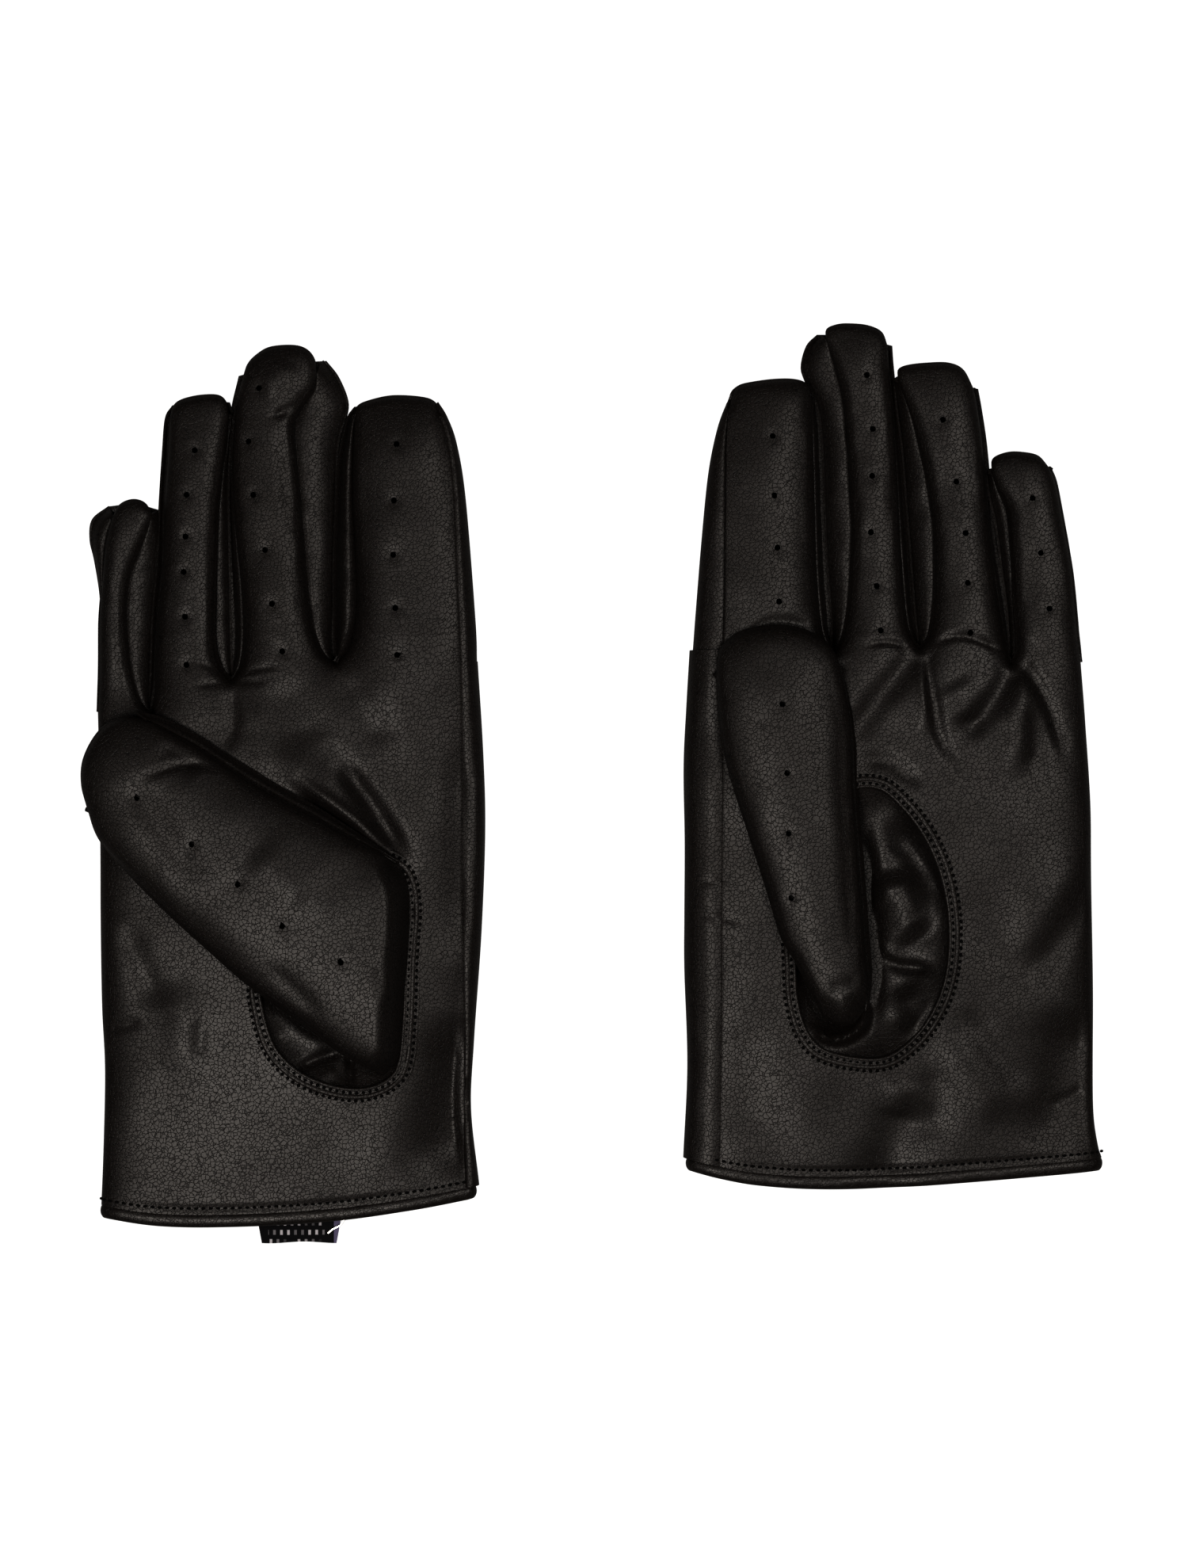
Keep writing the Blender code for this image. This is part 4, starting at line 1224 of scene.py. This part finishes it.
# ---------------------------------------------------------------------------------------------
# Thumb ovals: the gusset leather that closes the oval below the thumb, and round it the welt,
# the palm's edge turned back over a cord twice, which stands up as two thin ridges.
# ---------------------------------------------------------------------------------------------

INNER_ROW = -2.15  # the welt's inner stitches, from its outer ones
# across the welt, from outside in: offset from the outer stitches, and height on the palm
WELT = (
    *((1.5, -0.6), (0.9, -0.05), (0.45, 0.02), (0.0, -0.5), (-0.42, 0.15), (-1.05, 0.42)),
    *((-1.7, 0.15), (INNER_ROW, -0.5), (-2.55, 0.12), (-3.0, 0.3), (-3.5, 0.05), (-3.7, -0.9)),
)
SAG = 5.6  # how far the gusset hangs below the palm in the oval's middle

for glove in GLOVES:
    side_name = glove["name"]
    line = closed_trace(glove["oval"], 0.8)
    centre, inner = line.mean(axis=0), widen(line, -1.6)
    share = np.linspace(0, 1, 44)
    spots = centre + (inner[None] - centre) * share[:, None, None]
    folds = press(spots, glove["gusset_folds"]) * np.clip((1 - share) / 0.12, 0, 1)[:, None]
    high = crown(glove, inner)[None] - 0.2 - SAG * (1 - share**5)[:, None] + folds
    high = np.maximum(high + rumple(spots, 21, 6.0, 0.25), 3.6)
    grid = np.concatenate([spots, high[..., None]], axis=-1)
    points = [grid[0].mean(axis=0), *grid[1:].reshape(-1, 3)]
    columns = len(line)
    faces = [(0, 1 + c, 1 + (c + 1) % columns) for c in range(columns)]
    faces += [tuple(1 + corner for corner in face) for face in ring_faces(len(grid) - 1, columns)]
    obj = sheet_mesh(f"{side_name}_gusset_cut", points, faces)
    set_faces(obj, up=True)
    piece = thicken(obj, f"{side_name}_thumb_gusset_leather", LEATHER, 0.8)
    fasten(piece, f"{side_name}_palm", f"{side_name}_thumb_gusset")

    level = crown(glove, line)
    grid = np.array([np.concatenate([widen(line, out), (level + up)[:, None]], axis=1) for out, up in WELT])
    obj = sheet_mesh(f"{side_name}_welt_cut", grid.reshape(-1, 3), ring_faces(*grid.shape[:2]))
    set_faces(obj, up=True)
    piece = thicken(obj, f"{side_name}_thumb_welt_leather", LEATHER, 0.5, rounds=1, creased=False)
    fasten(piece, f"{side_name}_palm", f"{side_name}_thumb_welt")

# ---------------------------------------------------------------------------------------------
# Thumbs: each is a closed tube of a punched front and a back, set in at the oval, and lies
# over the palm. The front is sewn to the oval's rim at its root, so it rises from there.
# ---------------------------------------------------------------------------------------------

THUMB_EDGE, THUMB_TOP = 14.2, 20.6

for glove in GLOVES:
    thumb = glove["thumb"]
    left, tip, right = trace(thumb["left"], 2.0), trace(thumb["tip"], 1.5), trace(thumb["right"], 2.0)
    thumb["outline"] = np.vstack([left, tip, right[::-1]])
    # past its root the stuffed shape runs on 25 mm into the palm
    back = (left[0] + right[0]) / 2 - thumb["outline"].mean(axis=0)
    back *= 25 / np.linalg.norm(back)
    thumb["hull"] = np.vstack([thumb["outline"], right[0] + back, left[0] + back])
    thumb["stuffed"] = stuffed(thumb["hull"])


def thumb_crown(glove, spots):
    """The height of a thumb's upper side at each plan spot."""
    thumb = glove["thumb"]
    gap, _ = reach(spots, thumb["outline"])
    gap = np.where(within(spots, thumb["hull"]), gap, 0)
    root, _ = reach(spots, trace(thumb["base"], 1.5))
    high = THUMB_EDGE + (THUMB_TOP - THUMB_EDGE) * 1.12 * swell(thumb["stuffed"], spots, gap)
    wave = press(spots, glove["thumb_folds"]) + rumple(spots, 31, 12.0, 0.15)
    high = high + wave * np.clip(gap / 4, 0.2, 1)
    if glove is RIGHT:
        rise = np.sin(np.clip(root / 6.5, 0, 1) * math.pi / 2) ** 0.9
    else:
        rise = round_off(root, 9.0) ** 1.2
    foot = np.minimum(crown(glove, spots) + 0.3, high)
    return foot + (high - foot) * rise


for glove, cut, levels in (
    (RIGHT, 0.34, (13.0, 14.6, 14.2, 13.0, 12.2)),
    (LEFT, 0.30, (12.6, 12.6, 12.2, 11.6, 11.0)),
):
    side_name, thumb = glove["name"], glove["thumb"]
    base, tip = trace(thumb["base"], count=78), trace(thumb["tip"], count=78)
    rows = max(len(trace(thumb[side], 0.72)) for side in ("left", "right"))
    left, right = trace(thumb["left"], count=rows), trace(thumb["right"], count=rows)
    plan = patch(base, tip, left, right)
    grid = np.concatenate([plan, thumb_crown(glove, plan)[..., None]], axis=-1)
    grid = turn_under(dimple(grid, thumb["holes"]), "left", "right", "tip")
    spots = np.array(thumb["holes"], float)
    centres = np.concatenate([spots, thumb_crown(glove, spots)[:, None] - HOLE_SINK], axis=1)
    front = sew(f"{side_name}_thumb_front_leather", grid, centres=centres)

    root = trace([left[0], right[0]], count=40)
    plan = patch(root, trace(thumb["tip"], count=40), left, right)
    outline = np.vstack([left, trace(thumb["tip"], 1.5), right[::-1]])
    grid = tray(plan, outline, 1.4, 4.0, lowest=13.0)[int(rows * cut) :]
    back = sew(f"{side_name}_thumb_back_leather", grid, up=False, thick=SIDE_THICK)

    rim = trace(thumb["rim"], count=len(right))
    edge = strip(right - (0, 0.3), rim, [levels] * 2, 11, 44)
    roll = sew(f"{side_name}_thumb_seam_edge_leather", edge, thick=0.6)
    for piece in (front, back, roll):
        start, end = ((x * MM, y * MM, 0) for x, y in (thumb["start"], thumb["end"]))
        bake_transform(piece)
    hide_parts(f"{side_name}_thumb_front")
    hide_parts(f"{side_name}_thumb_back")

# ---------------------------------------------------------------------------------------------
# Stitches: black bonded polyester thread, two rows round each thumb oval and one above the
# cuff binding. Each stitch is a short tight bead that sinks at both ends.
# ---------------------------------------------------------------------------------------------

THREAD, tree, shader = finish_of(
    "black_polyester_thread", Base_Color=linear("#060505"), Roughness=0.8, Specular_IOR_Level=0.12
)
place = add(tree, "ShaderNodeTexCoord").outputs["Object"]
twist = add(tree, "ShaderNodeTexNoise", {"Scale": 4200.0, "Detail": 2.0}, {"Vector": place})
bump = add(tree, "ShaderNodeBump", {"Strength": 0.5, "Distance": 0.05 * MM}, {"Height": twist.outputs["Fac"]})
tree.links.new(bump.outputs["Normal"], shader.inputs["Normal"])


def stitching_tree():
    """A row of stitches along a curve."""
    tree = bpy.data.node_groups.new("stitch_row", "GeometryNodeTree")
    floats = {"Pitch": "Float", "Stitch_Length": "Float", "Thread_Width": "Float"}
    given = open_tree(tree, Line="Geometry", **floats, Thread="Material")
    curve = add(tree, "GeometryNodeMeshToCurve", {}, {"Mesh": given["Line"]})
    spacing = {"Curve": curve.outputs[0], "Length": given["Pitch"]}
    even = add(tree, "GeometryNodeResampleCurve", {"mode": "LENGTH"}, spacing)
    tangent = add(tree, "GeometryNodeInputTangent").outputs[0]
    turned = add(tree, "FunctionNodeAlignRotationToVector", {"axis": "X"}, {"Vector": tangent})
    bead = add(tree, "GeometryNodeMeshUVSphere", {"Segments": 8, "Rings": 6, "Radius": 0.5})
    sizes = {0: given["Stitch_Length"], 1: given["Thread_Width"], 2: given["Thread_Width"]}
    size = add(tree, "ShaderNodeCombineXYZ", {}, sizes)
    places = {"Points": even.outputs[0], "Instance": bead.outputs["Mesh"]}
    shapes = {"Rotation": turned.outputs[0], "Scale": size.outputs[0]}
    laid = add(tree, "GeometryNodeInstanceOnPoints", {}, {**places, **shapes})
    whole = add(tree, "GeometryNodeRealizeInstances", {}, {0: laid.outputs[0]})
    smooth = add(tree, "GeometryNodeSetShadeSmooth", {}, {0: whole.outputs[0]})
    return finish_tree(tree, smooth.outputs[0], given["Thread"])


STITCH_ROW = stitching_tree()


def stitch(name, line, closed, body, pitch, length, width):
    """Sews one row of stitches along a line of points and fixes it to a body."""
    count = len(line)
    edges = [(i, (i + 1) % count) for i in range(count if closed else count - 1)]
    mesh = bpy.data.meshes.new(name + "_line")
    mesh.from_pydata((line * MM).tolist(), edges, [])
    obj = bpy.data.objects.new(name + "_line", mesh)
    bpy.context.scene.collection.objects.link(obj)
    row = obj.modifiers.new("stitches", "NODES")
    row.node_group = STITCH_ROW
    sizes = {"Pitch": pitch * MM, "Stitch_Length": length * MM, "Thread_Width": width * MM}
    set_inputs(row, STITCH_ROW, **sizes, Thread=THREAD)
    piece = plain(obj, name)
    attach(piece, body)


for glove in GLOVES:
    side_name = glove["name"]
    body = f"{side_name}_palm"
    oval = closed_trace(glove["oval"], 0.8)
    level = crown(glove, oval)[:, None]
    for row, out in (("outer", 0.0), ("inner", INNER_ROW)):
        line = np.concatenate([widen(oval, out), level - 0.1], axis=1)
        stitch(f"{side_name}_oval_{row}_stitches", line, True, body, 1.8, 1.15, 0.95)
    hem, end = glove["hem"], glove["hem_end"]
    line = lift(glove, trace([*hem, end] if glove is RIGHT else [end, *hem], 1.0) + (0, HEM_SEAM))
    stitch(f"{side_name}_hem_stitches", line + (0, 0, 0.12), False, body, 1.95, 1.3, 0.8)

# ---------------------------------------------------------------------------------------------
# Woven size label: a folded damask tape sewn inside the right cuff, satin black with a few
# pale woven dashes, and beside it the thin steel pin of a swing tag.
# ---------------------------------------------------------------------------------------------

LABEL, tree, shader = finish_of("woven_damask_label", Roughness=0.75, Specular_IOR_Level=0.2)
place = add(tree, "ShaderNodeTexCoord").outputs["Object"]
# threads 0.2 mm apart
threads = add(tree, "ShaderNodeTexWave", {"Scale": 1600.0, "bands_direction": "X"}, {"Vector": place})
tone = add(tree, "ShaderNodeMix", {"data_type": "RGBA"}, {0: threads.outputs["Fac"]})
tone.inputs[6].default_value = linear("#060609")
tone.inputs[7].default_value = linear("#0f0e14")
# pale dashes 1.5 mm tall stand for the woven text, and the tape's right end has a lilac edge
sizes = {"Scale": 1.0, "Brick Width": 1.9 * MM, "Row Height": 2.5 * MM}
gaps = {"Mortar Size": 0.6 * MM, "Mortar Smooth": 0.05, "Bias": -0.1}
dashes = add(tree, "ShaderNodeTexBrick", {**sizes, **gaps}, {"Vector": place})
for name, white in (("Color1", 0), ("Color2", 1), ("Mortar", 0)):
    dashes.inputs[name].default_value = (white, white, white, 1)
spot = add(tree, "ShaderNodeSeparateXYZ", {}, {0: place}).outputs["X"]
near_middle = {"operation": "COMPARE", 1: -80.5 * MM, 2: 7.6 * MM}
middle = add(tree, "ShaderNodeMath", near_middle, {0: spot}).outputs[0]
both = {0: dashes.outputs["Color"], 1: middle}
shown = add(tree, "ShaderNodeMath", {"operation": "MULTIPLY"}, both).outputs[0]
text = add(tree, "ShaderNodeMix", {"data_type": "RGBA"}, {0: shown, 6: tone.outputs[2]})
text.inputs[7].default_value = linear("#d6d4da")
border = add(tree, "ShaderNodeMath", {"operation": "GREATER_THAN", 1: -70.4 * MM}, {0: spot}).outputs[0]
whole = add(tree, "ShaderNodeMix", {"data_type": "RGBA"}, {0: border, 6: text.outputs[2]})
whole.inputs[7].default_value = linear("#6f6a86")
tree.links.new(whole.outputs[2], shader.inputs["Base Color"])
ridges = {"Height": threads.outputs["Fac"]}
bump = add(tree, "ShaderNodeBump", {"Strength": 0.5, "Distance": 0.08 * MM}, ridges)
tree.links.new(bump.outputs["Normal"], shader.inputs["Normal"])

across, down = 30, 22
xs = np.linspace(-91.0, -68.6, across)
ys = np.linspace(-111.5, -124.0, down)
grid = np.zeros((down, across, 3))
grid[..., 0] = xs[None] + (xs[None] + 79.8) * -0.10 * np.clip((-118.0 - ys[:, None]) / 6.0, 0, 1)
grid[..., 1] = ys[:, None] + 0.25 * np.sin(xs[None] * 0.3)
grid[..., 2] = 2.55 + 0.35 * np.sin((xs[None] + 90) * 0.22) * np.clip((-113 - ys[:, None]) / 8, 0, 1)
piece = sew("right_woven_label", grid, skin=LABEL, thick=0.35)
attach(piece, "right_palm")
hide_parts("right_size_label")

bright = linear("#d8d6d2")
STEEL, tree, shader = finish_of("bright_steel_wire", Base_Color=bright, Roughness=0.22, Metallic=1.0)
pin = bpy.data.objects["right_tag_pin"]
pin.data.materials.clear()
pin.data.materials.append(STEEL)

# ---------------------------------------------------------------------------------------------
# The studio: a white table, two soft warm lights, and the camera straight above. The stronger
# light stands nearly overhead, towards the lower left.
# ---------------------------------------------------------------------------------------------

TABLE, tree, shader = finish_of("white_table", Base_Color=(0.25, 0.25, 0.25, 1), Roughness=0.9)
shader.inputs["Emission Color"].default_value = (1, 1, 1, 1)
rays = add(tree, "ShaderNodeLightPath")
seen = rays.outputs["Is Camera Ray"]
shine = add(tree, "ShaderNodeMapRange", {"To Min": 0.02, "To Max": 0.95}, {"Value": seen})
tree.links.new(shine.outputs["Result"], shader.inputs["Emission Strength"])
far = 20000
corners = [(x, y, -0.05) for x, y in ((-far, -far), (far, -far), (far, far), (-far, far))]
table = sheet_mesh("table", corners, [(0, 1, 2, 3)])
table.data.materials.append(TABLE)


def softbox(name, place, aim, width, height, power):
    """A rectangular soft light that faces a point."""
    lamp = bpy.data.lights.new(name, "AREA")
    lamp.shape, lamp.size, lamp.size_y, lamp.energy = "RECTANGLE", width, height, power
    lamp.color = (1.0, 0.94, 0.88)
    obj = bpy.data.objects.new(name, lamp)
    obj.location = place
    obj.rotation_euler = (Vector(aim) - Vector(place)).to_track_quat("-Z", "Y").to_euler()
    bpy.context.scene.collection.objects.link(obj)


softbox("key_light", (-0.22, -0.26, 0.98), (0, 0, 0), 0.36, 0.45, 7.0)
softbox("right_light", (0.42, 0.15, 0.95), (0, 0, 0), 0.3, 0.4, 4.0)
world = bpy.data.worlds.new("studio")
world.use_nodes = True
world.node_tree.nodes["Background"].inputs["Color"].default_value = (1, 1, 1, 1)
world.node_tree.nodes["Background"].inputs["Strength"].default_value = 0.03
scene = bpy.context.scene
scene.world = world
scene.view_settings.view_transform = "Standard"
scene.view_settings.gamma = 0.72  # a contrasty print, with deep blacks between the fingers

eye = bpy.data.cameras.new("eye")
eye.lens, eye.sensor_width = 85.0, 36.0
camera = bpy.data.objects.new("eye", eye)
camera.location = (0.0, 0.0, 1.004)
scene.collection.objects.link(camera)
scene.camera = camera
